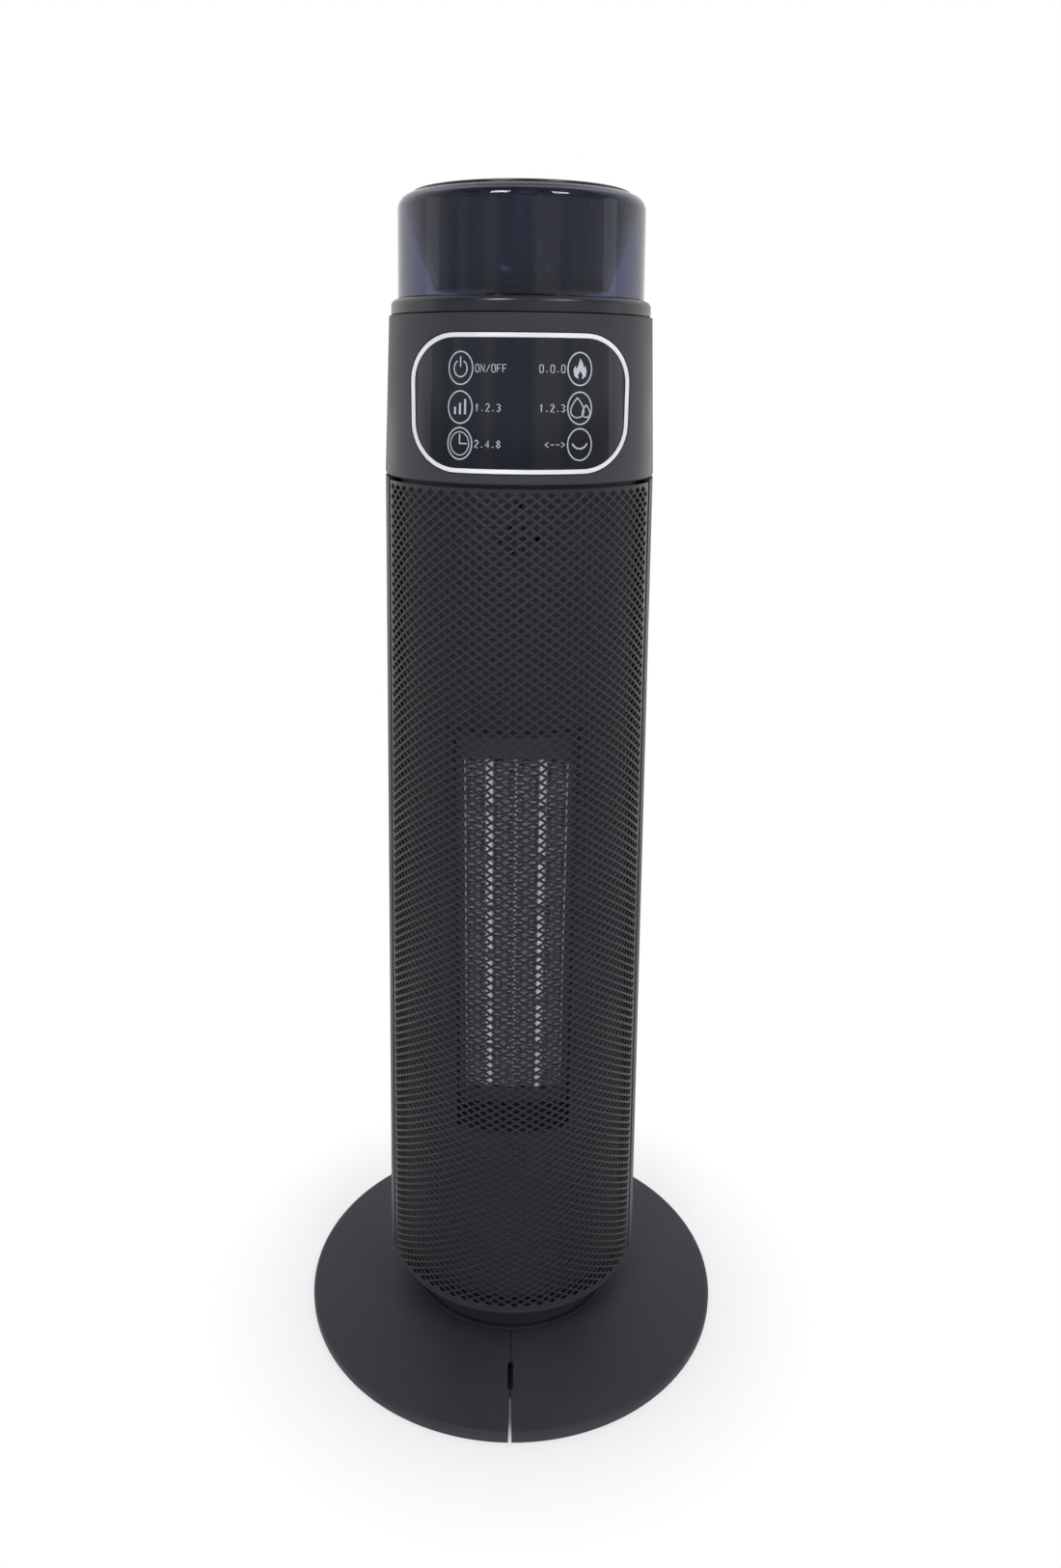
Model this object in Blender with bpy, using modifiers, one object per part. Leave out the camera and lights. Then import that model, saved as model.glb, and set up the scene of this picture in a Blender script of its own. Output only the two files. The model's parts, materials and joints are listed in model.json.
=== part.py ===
"""Oscillating tower fan heater with a mist and light head, modelled in metres, +Z up.

The origin is the centre of the footprint on the floor and the front faces -Y.
The round foot carries the neck and the fixed swing gear. The tower turns on them and holds the
heater, the fan, the controls and the water tank, whose lid lifts off.
"""

import bmesh
import bpy
from math import ceil, cos, pi, radians, sin, sqrt, tau
from mathutils import Matrix, Vector

# Shared values
CLEARANCE = 0.0003
OVERRUN = 0.004
ROUND_STEPS = 28
FOOT_STEPS = 36
HIDDEN_STEPS = 20
SMALL_STEPS = 14
HOLE_STEPS = 6
SMOOTH_ANGLE = radians(35)
WELD_DISTANCE = 0.00001

# Foot disc, in two halves with a front and back seam
FOOT_PAD_HEIGHT = 0.0010
FOOT_RADIUS = 0.1230
FOOT_RIM_HEIGHT = 0.0060
FOOT_RISE = 0.0085
FOOT_WALL = 0.0026
FOOT_EDGE = 0.0016
FOOT_SEAM = 0.0012
FOOT_HUB_MARGIN = 0.0025
FOOT_BORE_RADIUS = 0.0300
FOOT_SLOT_LENGTH = 0.0230
FOOT_SLOT_WIDTH = 0.0034
FOOT_SLOT_INSET = 0.0255
FOOT_RIB_COUNT = 5
FOOT_RIB_WIDTH = 0.0018
FOOT_PAD_RADIUS = 0.0085
FOOT_PAD_INSET = 0.0180
FOOT_PAD_RECESS = 0.0020
FOOT_PAD_ANGLE = radians(40)

# Neck that stands on the foot
NECK_SETBACK = 0.0160
NECK_WALL = 0.0025
NECK_HEIGHT = 0.0180
NECK_FLANGE = 0.0035
SLIDE_RING_HEIGHT = 0.0015
SLIDE_RING_WIDTH = 0.0060

# Swing drive
GEAR_TEETH = 24
PINION_TEETH = 12
GEAR_THICKNESS = 0.0060
GEAR_BACKLASH = 0.0005
GEAR_ROOT_SPARE = 0.0004
PIVOT_RADIUS = 0.0080
PIVOT_WALL = 0.0020
PIVOT_CLIP_RADIUS = 0.0125
PIVOT_CLIP_HEIGHT = 0.0016
PIVOT_END_SPARE = 0.0010
PINION_SHAFT_RADIUS = 0.0030
PINION_SHAFT_REACH = 0.0080
SWING_MOTOR_RADIUS = 0.0220
SWING_MOTOR_HEIGHT = 0.0150
SWING_MOTOR_SPACE = 0.0075
MOTOR_STEPS = 16
MOTOR_EAR_RADIUS = 0.0045
MOTOR_EAR_HEIGHT = 0.0015

# Tower shells
TOWER_BOTTOM_RADIUS = 0.0740
TOWER_TOP_RADIUS = 0.0642
TOWER_HEIGHT = 0.4455
TOWER_WALL = 0.0024
GRILLE_HALF_ANGLE = radians(72)
GRILLE_WALL = 0.0018
GRILLE_COLUMNS = 5
GRILLE_ROWS = 15
GRILLE_STRAND = 0.0030
GRILLE_FRAME = 0.0040
GRILLE_EDGE_GAP = 0.0006
BOTTOM_CAP_WALL = 0.0025
BOTTOM_CAP_HEIGHT = 0.0081
BOTTOM_CAP_INSET = 0.0060
BOTTOM_CAP_LIP = 0.0030
INLET_HALF_ANGLE = radians(46)
INLET_ROWS = 8
INLET_SLOT_HEIGHT = 0.0090
INLET_POST = 0.0060

# Inner cover behind the grille, with the outlet tunnel
COVER_WALL = 0.0018
COVER_HALF_ANGLE = radians(62)
TUNNEL_WIDTH = 0.0600
TUNNEL_WALL = 0.0018
SOUND_HOLE_RADIUS = 0.0012
SOUND_HOLE_PITCH = 0.0058
SOUND_HOLE_DROP = 0.0235

# Heating element
HEATER_SETBACK = 0.0252
HEATER_DEPTH = 0.0150
HEATER_RISE = 0.1220
HEATER_HEIGHT = 0.1910
HEATER_BORDER = 0.0038
HEATER_FOOT_BORDER = 0.0090
HEATER_HEAD_BORDER = 0.0180
CERAMIC_WIDTH = 0.0030
DIVIDER_WIDTH = 0.0008
FIN_PITCH = 0.0140
FIN_THICKNESS = 0.0005
FIN_SETBACK = 0.0010

# Fan and its housing
FAN_FRONT_SPACE = 0.0065
FAN_RADIUS = 0.0270
FAN_STEPS = 18
FAN_BLADE_COUNT = 12
FAN_BLADE_DEPTH = 0.0080
FAN_BLADE_THICKNESS = 0.0009
FAN_BLADE_CURVE = 0.0018
FAN_BLADE_LEAN = radians(28)
FAN_DISC = 0.0016
FAN_HUB_RADIUS = 0.0070
FAN_HUB_HEIGHT = 0.0080
FAN_SHAFT_RADIUS = 0.0025
FAN_END_SPACE = 0.0025
FAN_RIM_SPACE = 0.0025
DUCT_WALL = 0.0018
DUCT_PLATE = 0.0020
DUCT_ARC_STEPS = 5
DUCT_SCROLL_ANGLE = radians(65)
DUCT_TONGUE_ANGLE = radians(20)
BUSH_RADIUS = 0.0070
BUSH_FLANGE_RADIUS = 0.0100
BUSH_FLANGE = 0.0015
FAN_MOTOR_RADIUS = 0.0220
FAN_MOTOR_HEIGHT = 0.0360
FAN_MOTOR_CAP_RADIUS = 0.0120
FAN_MOTOR_CAP = 0.0050
FAN_MOTOR_EDGE = 0.0012
BRACKET_WIDTH = 0.0160
BRACKET_THICKNESS = 0.0016
CUTOUT_LENGTH = 0.0160
CUTOUT_WIDTH = 0.0070
CUTOUT_DEPTH = 0.0040
CUTOUT_EDGE = 0.0005

# Control section
CONTROL_HEIGHT = 0.0695
CONTROL_TAPER = 0.0036
CONTROL_WALL = 0.0028
CONTROL_SHELF = 0.0120
PANEL_HALF_ANGLE = radians(48.1)
PANEL_MARGIN = 0.0051
PANEL_TOP_MARGIN = 0.0078
PANEL_CORNER = 0.0200
PANEL_BEZEL_WIDTH = 0.0020
PANEL_BEZEL_PROUD = 0.0003
PANEL_RECESS = 0.0013
PANEL_CORNER_STEPS = 4
TOUCH_BOARD_SPACE = 0.0025
TOUCH_BOARD_MARGIN = 0.0043
BOARD_THICKNESS = 0.0016
TOUCH_BOARD_SETBACK = 0.0202
BOARD_RIB_WIDTH = 0.0040
BOARD_RIB_INSET = 0.0090
BOARD_RIB_HEIGHT = 0.0300

# Mist and light head
TRIM_SETBACK = 0.0010
TRIM_HEIGHT = 0.0067
TRIM_EDGE = 0.0010
TRIM_WIDTH = 0.0064
SHADE_SETBACK = 0.0032
SHADE_TAPER = 0.0008
SHADE_HEIGHT = 0.0407
SHADE_WALL = 0.0022
SHADE_ROUND = 0.0060
SHADE_ROUND_STEPS = 3
SHADE_RIM = 0.0156
DECK_THICKNESS = 0.0022
TANK_FLOOR_GAP = 0.0085
TANK_SPACE = 0.0009
TANK_TAPER = 0.0125
TANK_SHOULDER_DROP = 0.0050
TANK_LIP_WIDTH = 0.0055
TANK_WALL = 0.0018
TANK_WELL_RADIUS = 0.0100
LED_RING_INSET = 0.0012
LED_RING_WIDTH = 0.0080
LED_RING_THICKNESS = 0.0016
MIST_CUP_RADIUS = 0.0160
MIST_DISC_RADIUS = 0.0120
MIST_DISC_THICKNESS = 0.0020
SEAL_WIDTH = 0.0022
SEAL_HEIGHT = 0.0014
CHIMNEY_RADIUS = 0.0090
CHIMNEY_WALL = 0.0015
CHIMNEY_FLANGE_RADIUS = 0.0150
CHIMNEY_FLANGE = 0.0016
CHIMNEY_TOP_GAP = 0.0060
CHIMNEY_PORT_WIDTH = 0.0040
CHIMNEY_PORT_HEIGHT = 0.0060
LID_RIM = 0.0030
LID_EDGE = 0.0008
LID_DOME = 0.0019
LID_DOME_STEPS = 3
LID_WALL = 0.0018
LID_SKIRT = 0.0050
LID_OUTLET_RADIUS = 0.0080

# Electrics in the foot of the tower
POWER_BOARD_WIDTH = 0.0600
POWER_BOARD_HEIGHT = 0.0700
POWER_BOARD_INSET = 0.0355
POWER_RAIL_HEIGHT = 0.0040
TRANSFORMER_WIDTH = 0.0240
TRANSFORMER_HEIGHT = 0.0200
TRANSFORMER_DEPTH = 0.0160
TRANSFORMER_RISE = 0.0175
TRANSFORMER_EDGE = 0.0008
TILT_SWITCH_WIDTH = 0.0140
TILT_SWITCH_HEIGHT = 0.0180
TILT_SWITCH_SPACE = 0.0145
TILT_SWITCH_EDGE = 0.0008
BUZZER_RADIUS = 0.0060
BUZZER_HEIGHT = 0.0050
GLAND_RADIUS = 0.0070
GLAND_BORE = 0.0036
GLAND_FLANGE_RADIUS = 0.0100
GLAND_FLANGE = 0.0020
GLAND_RISE = 0.0200

# Worked-out levels, from the floor up
FOOT_BOTTOM = FOOT_PAD_HEIGHT
FOOT_RIM_TOP = FOOT_BOTTOM + FOOT_RIM_HEIGHT
FOOT_TOP = FOOT_RIM_TOP + FOOT_RISE
NECK_BOTTOM = FOOT_TOP + CLEARANCE
NECK_FLOOR = NECK_BOTTOM + NECK_WALL
NECK_TOP = NECK_BOTTOM + NECK_HEIGHT
GEAR_BOTTOM = NECK_FLOOR + CLEARANCE
GEAR_TOP = GEAR_BOTTOM + GEAR_THICKNESS
PIVOT_END = NECK_BOTTOM - CLEARANCE - PIVOT_CLIP_HEIGHT - PIVOT_END_SPARE
SLIDE_RING_BOTTOM = NECK_TOP + CLEARANCE
CAP_BOTTOM = SLIDE_RING_BOTTOM + SLIDE_RING_HEIGHT + CLEARANCE
CAP_FLOOR = CAP_BOTTOM + BOTTOM_CAP_WALL
TOWER_BOTTOM = CAP_BOTTOM + BOTTOM_CAP_HEIGHT
CAP_TOP = TOWER_BOTTOM - CLEARANCE
GLAND_HEIGHT = TOWER_BOTTOM + GLAND_RISE
HEATER_BOTTOM = TOWER_BOTTOM + HEATER_RISE
HEATER_TOP = HEATER_BOTTOM + HEATER_HEIGHT
TUNNEL_BOTTOM = HEATER_BOTTOM - HEATER_FOOT_BORDER
TUNNEL_TOP = HEATER_TOP + HEATER_HEAD_BORDER
DUCT_BOTTOM = HEATER_BOTTOM
DUCT_TOP = HEATER_TOP
FAN_BOTTOM = DUCT_BOTTOM + DUCT_PLATE + FAN_END_SPACE
FAN_TOP = DUCT_TOP - DUCT_PLATE - FAN_END_SPACE
TOWER_TOP = TOWER_BOTTOM + TOWER_HEIGHT
SHELL_TOP = TOWER_TOP - CLEARANCE
SOUND_HOLE_CENTRE = TOWER_TOP - SOUND_HOLE_DROP
CONTROL_TOP = TOWER_TOP + CONTROL_HEIGHT
PANEL_BOTTOM = TOWER_TOP + PANEL_MARGIN
PANEL_HEIGHT = CONTROL_HEIGHT - PANEL_MARGIN - PANEL_TOP_MARGIN
TOUCH_BOARD_HEIGHT = PANEL_HEIGHT - 2 * TOUCH_BOARD_MARGIN
TRIM_BOTTOM = CONTROL_TOP + CLEARANCE
TRIM_TOP = TRIM_BOTTOM + TRIM_HEIGHT
DECK_TOP = TRIM_BOTTOM + DECK_THICKNESS
SHADE_BOTTOM = TRIM_TOP + CLEARANCE
SHADE_TOP = SHADE_BOTTOM + SHADE_HEIGHT
TANK_BOTTOM = DECK_TOP + TANK_FLOOR_GAP
TANK_TOP = SHADE_TOP - SHADE_WALL - CLEARANCE
LID_BOTTOM = SHADE_TOP + CLEARANCE

# Worked-out radii and places, from the tower's two radii
NECK_RADIUS = TOWER_BOTTOM_RADIUS - NECK_SETBACK
FOOT_HUB_RADIUS = NECK_RADIUS + NECK_FLANGE + FOOT_HUB_MARGIN
FOOT_PAD_PLACE = FOOT_RADIUS - FOOT_PAD_INSET
CAP_FLOOR_RADIUS = TOWER_BOTTOM_RADIUS - BOTTOM_CAP_INSET - BOTTOM_CAP_WALL
GRILLE_FACET_ANGLE = GRILLE_HALF_ANGLE / GRILLE_COLUMNS / 2
CAP_LIP_RADIUS = (TOWER_BOTTOM_RADIUS - TOWER_WALL) * cos(GRILLE_FACET_ANGLE) - CLEARANCE
COVER_INSET = TOWER_BOTTOM_RADIUS - CAP_LIP_RADIUS + BOTTOM_CAP_WALL + 2 * CLEARANCE
SWING_REACH = CAP_FLOOR_RADIUS - SWING_MOTOR_SPACE - SWING_MOTOR_RADIUS
GEAR_MODULE = 2 * SWING_REACH / (GEAR_TEETH + PINION_TEETH)
POWER_BOARD_PLACE = CAP_FLOOR_RADIUS - POWER_BOARD_INSET
TILT_SWITCH_PLACE = CAP_FLOOR_RADIUS - TILT_SWITCH_SPACE - TILT_SWITCH_WIDTH / 2
HEATER_FACE = TOWER_TOP_RADIUS - HEATER_SETBACK
HEATER_BACK = HEATER_FACE - HEATER_DEPTH
HEATER_WIDTH = TUNNEL_WIDTH - 2 * HEATER_BORDER
FAN_CASE_RADIUS = FAN_RADIUS + FAN_RIM_SPACE
FAN_OFFSET = FAN_CASE_RADIUS + FAN_FRONT_SPACE - HEATER_BACK
CONTROL_TOP_RADIUS = TOWER_TOP_RADIUS - CONTROL_TAPER
PANEL_HALF_WIDTH = TOWER_TOP_RADIUS * sin(PANEL_HALF_ANGLE)
TOUCH_BOARD_PLACE = TOWER_TOP_RADIUS - TOUCH_BOARD_SETBACK
TOUCH_BOARD_CHORD = sqrt((CONTROL_TOP_RADIUS - CONTROL_WALL) ** 2 - TOUCH_BOARD_PLACE ** 2)
TOUCH_BOARD_WIDTH = 2 * (TOUCH_BOARD_CHORD - TOUCH_BOARD_SPACE)
BOARD_RIB_SPACING = TOUCH_BOARD_WIDTH - 2 * BOARD_RIB_INSET
TRIM_RADIUS = CONTROL_TOP_RADIUS - TRIM_SETBACK
TRIM_INNER_RADIUS = TRIM_RADIUS - TRIM_WIDTH
SHADE_RADIUS = TRIM_RADIUS - SHADE_SETBACK
SHADE_TOP_RADIUS = SHADE_RADIUS - SHADE_TAPER
SHADE_MOUTH_RADIUS = SHADE_TOP_RADIUS - SHADE_RIM
TANK_SHOULDER_RADIUS = SHADE_TOP_RADIUS - SHADE_WALL - TANK_SPACE
TANK_FLOOR_RADIUS = TANK_SHOULDER_RADIUS - TANK_TAPER
TANK_LIP_RADIUS = TANK_SHOULDER_RADIUS - TANK_LIP_WIDTH
LED_RING_OUTER = TRIM_INNER_RADIUS - LED_RING_INSET
LED_RING_INNER = LED_RING_OUTER - LED_RING_WIDTH
LID_RADIUS = SHADE_MOUTH_RADIUS + LID_RIM

# Pieces and cutters that stay still when the tower turns
STANDING_NAMES = ("base_", "foot_pad_", "neck_", "slide_ring", "fixed_swing_gear", "gear_bore")

# Colour, roughness and metallic value of each finish
FINISHES = {
    "charcoal": ((0.045, 0.046, 0.050), 0.55, 0.0),
    "mesh": ((0.026, 0.027, 0.030), 0.50, 0.0),
    "gloss_black": ((0.010, 0.010, 0.012), 0.15, 0.0),
    "trim_white": ((0.600, 0.600, 0.620), 0.35, 0.0),
    "blue_clear": ((0.030, 0.045, 0.260), 0.08, 0.0),
    "tank_dark": ((0.012, 0.013, 0.030), 0.35, 0.0),
    "inner_plastic": ((0.030, 0.030, 0.033), 0.60, 0.0),
    "aluminium": ((0.560, 0.560, 0.570), 0.40, 1.0),
    "ceramic": ((0.780, 0.770, 0.740), 0.60, 0.0),
    "steel": ((0.450, 0.450, 0.460), 0.35, 1.0),
    "brass": ((0.600, 0.430, 0.160), 0.35, 1.0),
    "rubber": ((0.020, 0.020, 0.020), 0.85, 0.0),
    "board_green": ((0.030, 0.150, 0.070), 0.50, 0.0),
    "gear_white": ((0.720, 0.710, 0.680), 0.45, 0.0),
}


def material(name, finish):
    """A Principled material in one of the finishes above."""
    colour, roughness, metallic = FINISHES[finish]
    made = bpy.data.materials.new(name)
    made.use_nodes = True
    shader = made.node_tree.nodes["Principled BSDF"]
    shader.inputs["Base Color"].default_value = (*colour, 1.0)
    shader.inputs["Roughness"].default_value = roughness
    shader.inputs["Metallic"].default_value = metallic
    return made


def place(obj, finish=None):
    """Put an object in the model's collection with a finish, or in the cutters' without one."""
    group = bpy.data.collections["fan_heater" if finish else "cutters"]
    for other in list(obj.users_collection):
        other.objects.unlink(obj)
    group.objects.link(obj)
    if finish:
        obj.data.materials.append(material(obj.name, finish))
        obj.data.shade_smooth()
        obj.data.set_sharp_from_angle(angle=SMOOTH_ANGLE)
    else:
        obj.hide_render = True
        obj.display_type = "WIRE"
    return obj


def mesh_object(name, work):
    """A new object from a bmesh."""
    mesh = bpy.data.meshes.new(name)
    work.to_mesh(mesh)
    work.free()
    obj = bpy.data.objects.new(name, mesh)
    bpy.context.scene.collection.objects.link(obj)
    return obj


def turned(name, profile, finish=None, steps=ROUND_STEPS, sweep=tau, start=0.0, closed=True):
    """A turned piece. The profile's points are (radius, height), down the outer side first."""
    work = bmesh.new()
    points = [work.verts.new((radius, 0.0, height)) for radius, height in profile]
    pairs = list(zip(points, points[1:]))
    if closed and profile[0][0] + profile[-1][0]:
        pairs.append((points[-1], points[0]))
    for first, second in pairs:
        work.edges.new((first, second))
    obj = mesh_object(name, work)
    obj.rotation_euler.z = start
    screw = obj.modifiers.new("turn", "SCREW")
    screw.angle = sweep
    screw.steps = steps
    screw.render_steps = steps
    screw.use_merge_vertices = True
    screw.merge_threshold = WELD_DISTANCE
    return place(obj, finish)


def thicken(obj, wall, even=True):
    """Give an open surface a wall on its inner side."""
    shell = obj.modifiers.new("wall", "SOLIDIFY")
    shell.thickness = wall
    shell.offset = -1.0
    shell.use_even_offset = even
    return obj


def block(name, low, high, finish=None, edge=0.0):
    """A box between two corners, with a small bevel where an edge is given."""
    low = Vector(low)
    high = Vector(high)
    bpy.ops.mesh.primitive_cube_add(size=1.0)
    obj = bpy.context.active_object
    obj.name = name
    obj.data.transform(Matrix.Diagonal((*(high - low), 1.0)))
    obj.data.transform(Matrix.Translation((low + high) / 2))
    if edge:
        bevel = obj.modifiers.new("edge", "BEVEL")
        bevel.width = edge
        bevel.segments = 1
    return place(obj, finish)


def rod(name, radius, start, end, finish=None, steps=SMALL_STEPS):
    """A cylinder between two points."""
    start = Vector(start)
    end = Vector(end)
    span = end - start
    work = bmesh.new()
    bmesh.ops.create_cone(
        work, cap_ends=True, segments=steps, radius1=radius, radius2=radius, depth=span.length)
    turn = Vector((0.0, 0.0, 1.0)).rotation_difference(span).to_matrix().to_4x4()
    work.transform(Matrix.Translation((start + end) / 2) @ turn)
    return place(mesh_object(name, work), finish)


def prism(name, outline, thickness, finish=None):
    """A flat outline in X and Y, raised from zero by its thickness."""
    curve = bpy.data.curves.new(name, "CURVE")
    curve.dimensions = "2D"
    curve.fill_mode = "BOTH"
    curve.extrude = thickness / 2
    for loop in outline if isinstance(outline[0][0], tuple) else [outline]:
        spline = curve.splines.new("POLY")
        spline.points.add(len(loop) - 1)
        for point, (across, along) in zip(spline.points, loop):
            point.co = (across, along, 0.0, 1.0)
        spline.use_cyclic_u = True
    source = bpy.data.objects.new(name + "_outline", curve)
    bpy.context.scene.collection.objects.link(source)
    bpy.context.view_layer.update()
    seen = source.evaluated_get(bpy.context.evaluated_depsgraph_get())
    work = bmesh.new()
    raw = bpy.data.meshes.new_from_object(seen)
    work.from_mesh(raw)
    bmesh.ops.remove_doubles(work, verts=work.verts, dist=WELD_DISTANCE)
    bmesh.ops.recalc_face_normals(work, faces=work.faces)
    work.transform(Matrix.Translation((0.0, 0.0, thickness / 2)))
    bpy.data.objects.remove(source)
    bpy.data.meshes.remove(raw)
    return place(mesh_object(name, work), finish)


def boolean(obj, tool, operation):
    """Change an object by another one, which then counts as a cutter."""
    step = obj.modifiers.new(tool.name, "BOOLEAN")
    step.operation = operation
    step.object = tool
    step.solver = "EXACT"
    return obj


def cut(obj, tool):
    """Cut a tool's shape out of an object."""
    return boolean(obj, tool, "DIFFERENCE")


def fuse(obj, tool):
    """Join a tool's shape to an object."""
    return boolean(obj, tool, "UNION")


def gather(name, tools):
    """Make one cutter out of several that don't meet."""
    work = bmesh.new()
    for tool in tools:
        mesh = tool.data.copy()
        mesh.transform(tool.matrix_basis)
        work.from_mesh(mesh)
        bpy.data.meshes.remove(mesh)
        bpy.data.objects.remove(tool)
    return place(mesh_object(name, work))


def move(obj, offset, parent=None):
    """Place an object by its location, under a parent where one is given."""
    obj.location = Vector(offset)
    obj.parent = parent
    return obj


def axis_empty(name, location):
    """An empty on a joint's axis, which carries the pieces that turn or slide with it."""
    empty = bpy.data.objects.new(name, None)
    bpy.data.collections["fan_heater"].objects.link(empty)
    empty.location = Vector(location)
    return empty


def tower_radius(height):
    """Outer radius of the tower's cone at a height."""
    share = (height - TOWER_BOTTOM) / (TOWER_TOP - TOWER_BOTTOM)
    return TOWER_BOTTOM_RADIUS + (TOWER_TOP_RADIUS - TOWER_BOTTOM_RADIUS) * share


def control_radius(height):
    """Outer radius of the control section at a height."""
    share = (height - TOWER_TOP) / (CONTROL_TOP - TOWER_TOP)
    return TOWER_TOP_RADIUS + (CONTROL_TOP_RADIUS - TOWER_TOP_RADIUS) * share


def arc(centre, radius, first, last, steps):
    """Points on an arc, angles from +X in radians."""
    points = []
    for step in range(steps + 1):
        angle = first + (last - first) * step / steps
        points.append((centre[0] + radius * cos(angle), centre[1] + radius * sin(angle)))
    return points


def foot_profile():
    """Section of the foot: a thin dish with a turned-down rim."""
    outer = FOOT_RADIUS
    inner = FOOT_RADIUS - FOOT_WALL
    return [
        (FOOT_BORE_RADIUS, FOOT_TOP),
        (FOOT_HUB_RADIUS, FOOT_TOP),
        (outer - FOOT_EDGE, FOOT_RIM_TOP),
        (outer, FOOT_RIM_TOP - FOOT_EDGE),
        (outer, FOOT_BOTTOM),
        (inner, FOOT_BOTTOM),
        (inner, FOOT_RIM_TOP - FOOT_WALL),
        (FOOT_HUB_RADIUS, FOOT_TOP - FOOT_WALL),
        (FOOT_BORE_RADIUS, FOOT_TOP - FOOT_WALL),
    ]


def foot_core(name):
    """Space under the middle of the foot's wall, which trims the ribs and bosses."""
    half = FOOT_WALL / 2
    return turned(name, [
        (FOOT_BORE_RADIUS, FOOT_TOP - half),
        (FOOT_HUB_RADIUS, FOOT_TOP - half),
        (FOOT_RADIUS - half, FOOT_RIM_TOP - half),
        (FOOT_RADIUS - half, FOOT_BOTTOM + half),
        (FOOT_BORE_RADIUS, FOOT_BOTTOM + half),
    ], steps=FOOT_STEPS)


def foot_stiffening(name, side):
    """Ribs and pad bosses under one half of the foot."""
    ribs = []
    for index in range(FOOT_RIB_COUNT):
        turn = pi * (index + 1) / (FOOT_RIB_COUNT + 1) - pi / 2
        rib = block(
            "rib", (FOOT_HUB_RADIUS, -FOOT_RIB_WIDTH / 2, FOOT_BOTTOM + FOOT_PAD_RECESS),
            (FOOT_RADIUS, FOOT_RIB_WIDTH / 2, FOOT_TOP))
        rib.data.transform(Matrix.Rotation(turn if side > 0 else pi - turn, 4, "Z"))
        ribs.append(rib)
    ribs = boolean(gather(name + "_ribs", ribs), foot_core(name + "_rib_core"), "INTERSECT")
    bosses = []
    for place_sign in (-1, 1):
        spot = foot_pad_spot(side, place_sign)
        bottom = Vector((0.0, 0.0, FOOT_BOTTOM + FOOT_PAD_RECESS))
        top = Vector((0.0, 0.0, FOOT_TOP))
        bosses.append(rod("boss", FOOT_PAD_RADIUS, spot + bottom, spot + top))
    bosses = boolean(gather(name + "_bosses", bosses), foot_core(name + "_boss_core"), "INTERSECT")
    return ribs, bosses


def foot_pad_spot(side, front):
    """Centre of a foot pad on the floor."""
    angle = front * FOOT_PAD_ANGLE
    return Vector((side * FOOT_PAD_PLACE * cos(angle), FOOT_PAD_PLACE * sin(angle), 0.0))


def foot_halves():
    """Two halves of the foot disc, with a slot across their front seam."""
    slot_end = -FOOT_RADIUS + FOOT_SLOT_INSET
    for name, side in (("base_left", -1), ("base_right", 1)):
        half = turned(name, foot_profile(), "charcoal", steps=FOOT_STEPS)
        for tool in foot_stiffening(name, side):
            fuse(half, tool)
        reach = FOOT_RADIUS + OVERRUN
        edges = sorted((side * -reach, side * FOOT_SEAM / 2))
        cut(half, block(
            name + "_seam", (edges[0], -reach, -OVERRUN), (edges[1], reach, FOOT_TOP + OVERRUN)))
        cut(half, block(
            name + "_slot",
            (-FOOT_SLOT_WIDTH / 2, slot_end, -OVERRUN),
            (FOOT_SLOT_WIDTH / 2, slot_end + FOOT_SLOT_LENGTH, FOOT_TOP + OVERRUN)))


def foot_pads():
    """Four rubber feet under the bosses."""
    top = Vector((0.0, 0.0, FOOT_BOTTOM + FOOT_PAD_RECESS - CLEARANCE))
    for side, side_name in ((-1, "left"), (1, "right")):
        for front, front_name in ((-1, "front"), (1, "back")):
            spot = foot_pad_spot(side, front)
            name = "foot_pad_" + front_name + "_" + side_name
            rod(name, FOOT_PAD_RADIUS, spot, spot + top, "rubber")


def neck():
    """Round neck with a floor, which stands on the foot and carries the tower."""
    inner = NECK_RADIUS - NECK_WALL
    bore = PIVOT_RADIUS + CLEARANCE
    turned("neck_collar", [
        (NECK_RADIUS, NECK_TOP),
        (NECK_RADIUS, NECK_BOTTOM + NECK_WALL),
        (NECK_RADIUS + NECK_FLANGE, NECK_BOTTOM + NECK_WALL),
        (NECK_RADIUS + NECK_FLANGE, NECK_BOTTOM),
        (bore, NECK_BOTTOM),
        (bore, NECK_FLOOR),
        (inner, NECK_FLOOR),
        (inner, NECK_TOP),
    ], "charcoal")
    turned("slide_ring", [
        (NECK_RADIUS, SLIDE_RING_BOTTOM + SLIDE_RING_HEIGHT),
        (NECK_RADIUS, SLIDE_RING_BOTTOM),
        (NECK_RADIUS - SLIDE_RING_WIDTH, SLIDE_RING_BOTTOM),
        (NECK_RADIUS - SLIDE_RING_WIDTH, SLIDE_RING_BOTTOM + SLIDE_RING_HEIGHT),
    ], "gear_white", steps=HIDDEN_STEPS)


def gear_outline(teeth, phase):
    """Straight-sided gear teeth. Their flanks stand apart by the backlash."""
    pitch_radius = GEAR_MODULE * teeth / 2
    root = pitch_radius - GEAR_MODULE - GEAR_ROOT_SPARE
    tip = pitch_radius + GEAR_MODULE - GEAR_BACKLASH
    thinning = GEAR_BACKLASH / pitch_radius / 2
    quarter = tau / teeth / 4
    tip_share = 0.50
    root_share = 1.50
    points = []
    for tooth in range(teeth):
        middle = phase + tau * tooth / teeth
        for radius, offset in (
                (root, -quarter * root_share + thinning), (tip, -quarter * tip_share + thinning),
                (tip, quarter * tip_share - thinning), (root, quarter * root_share - thinning)):
            points.append((radius * cos(middle + offset), radius * sin(middle + offset)))
    return points


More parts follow.
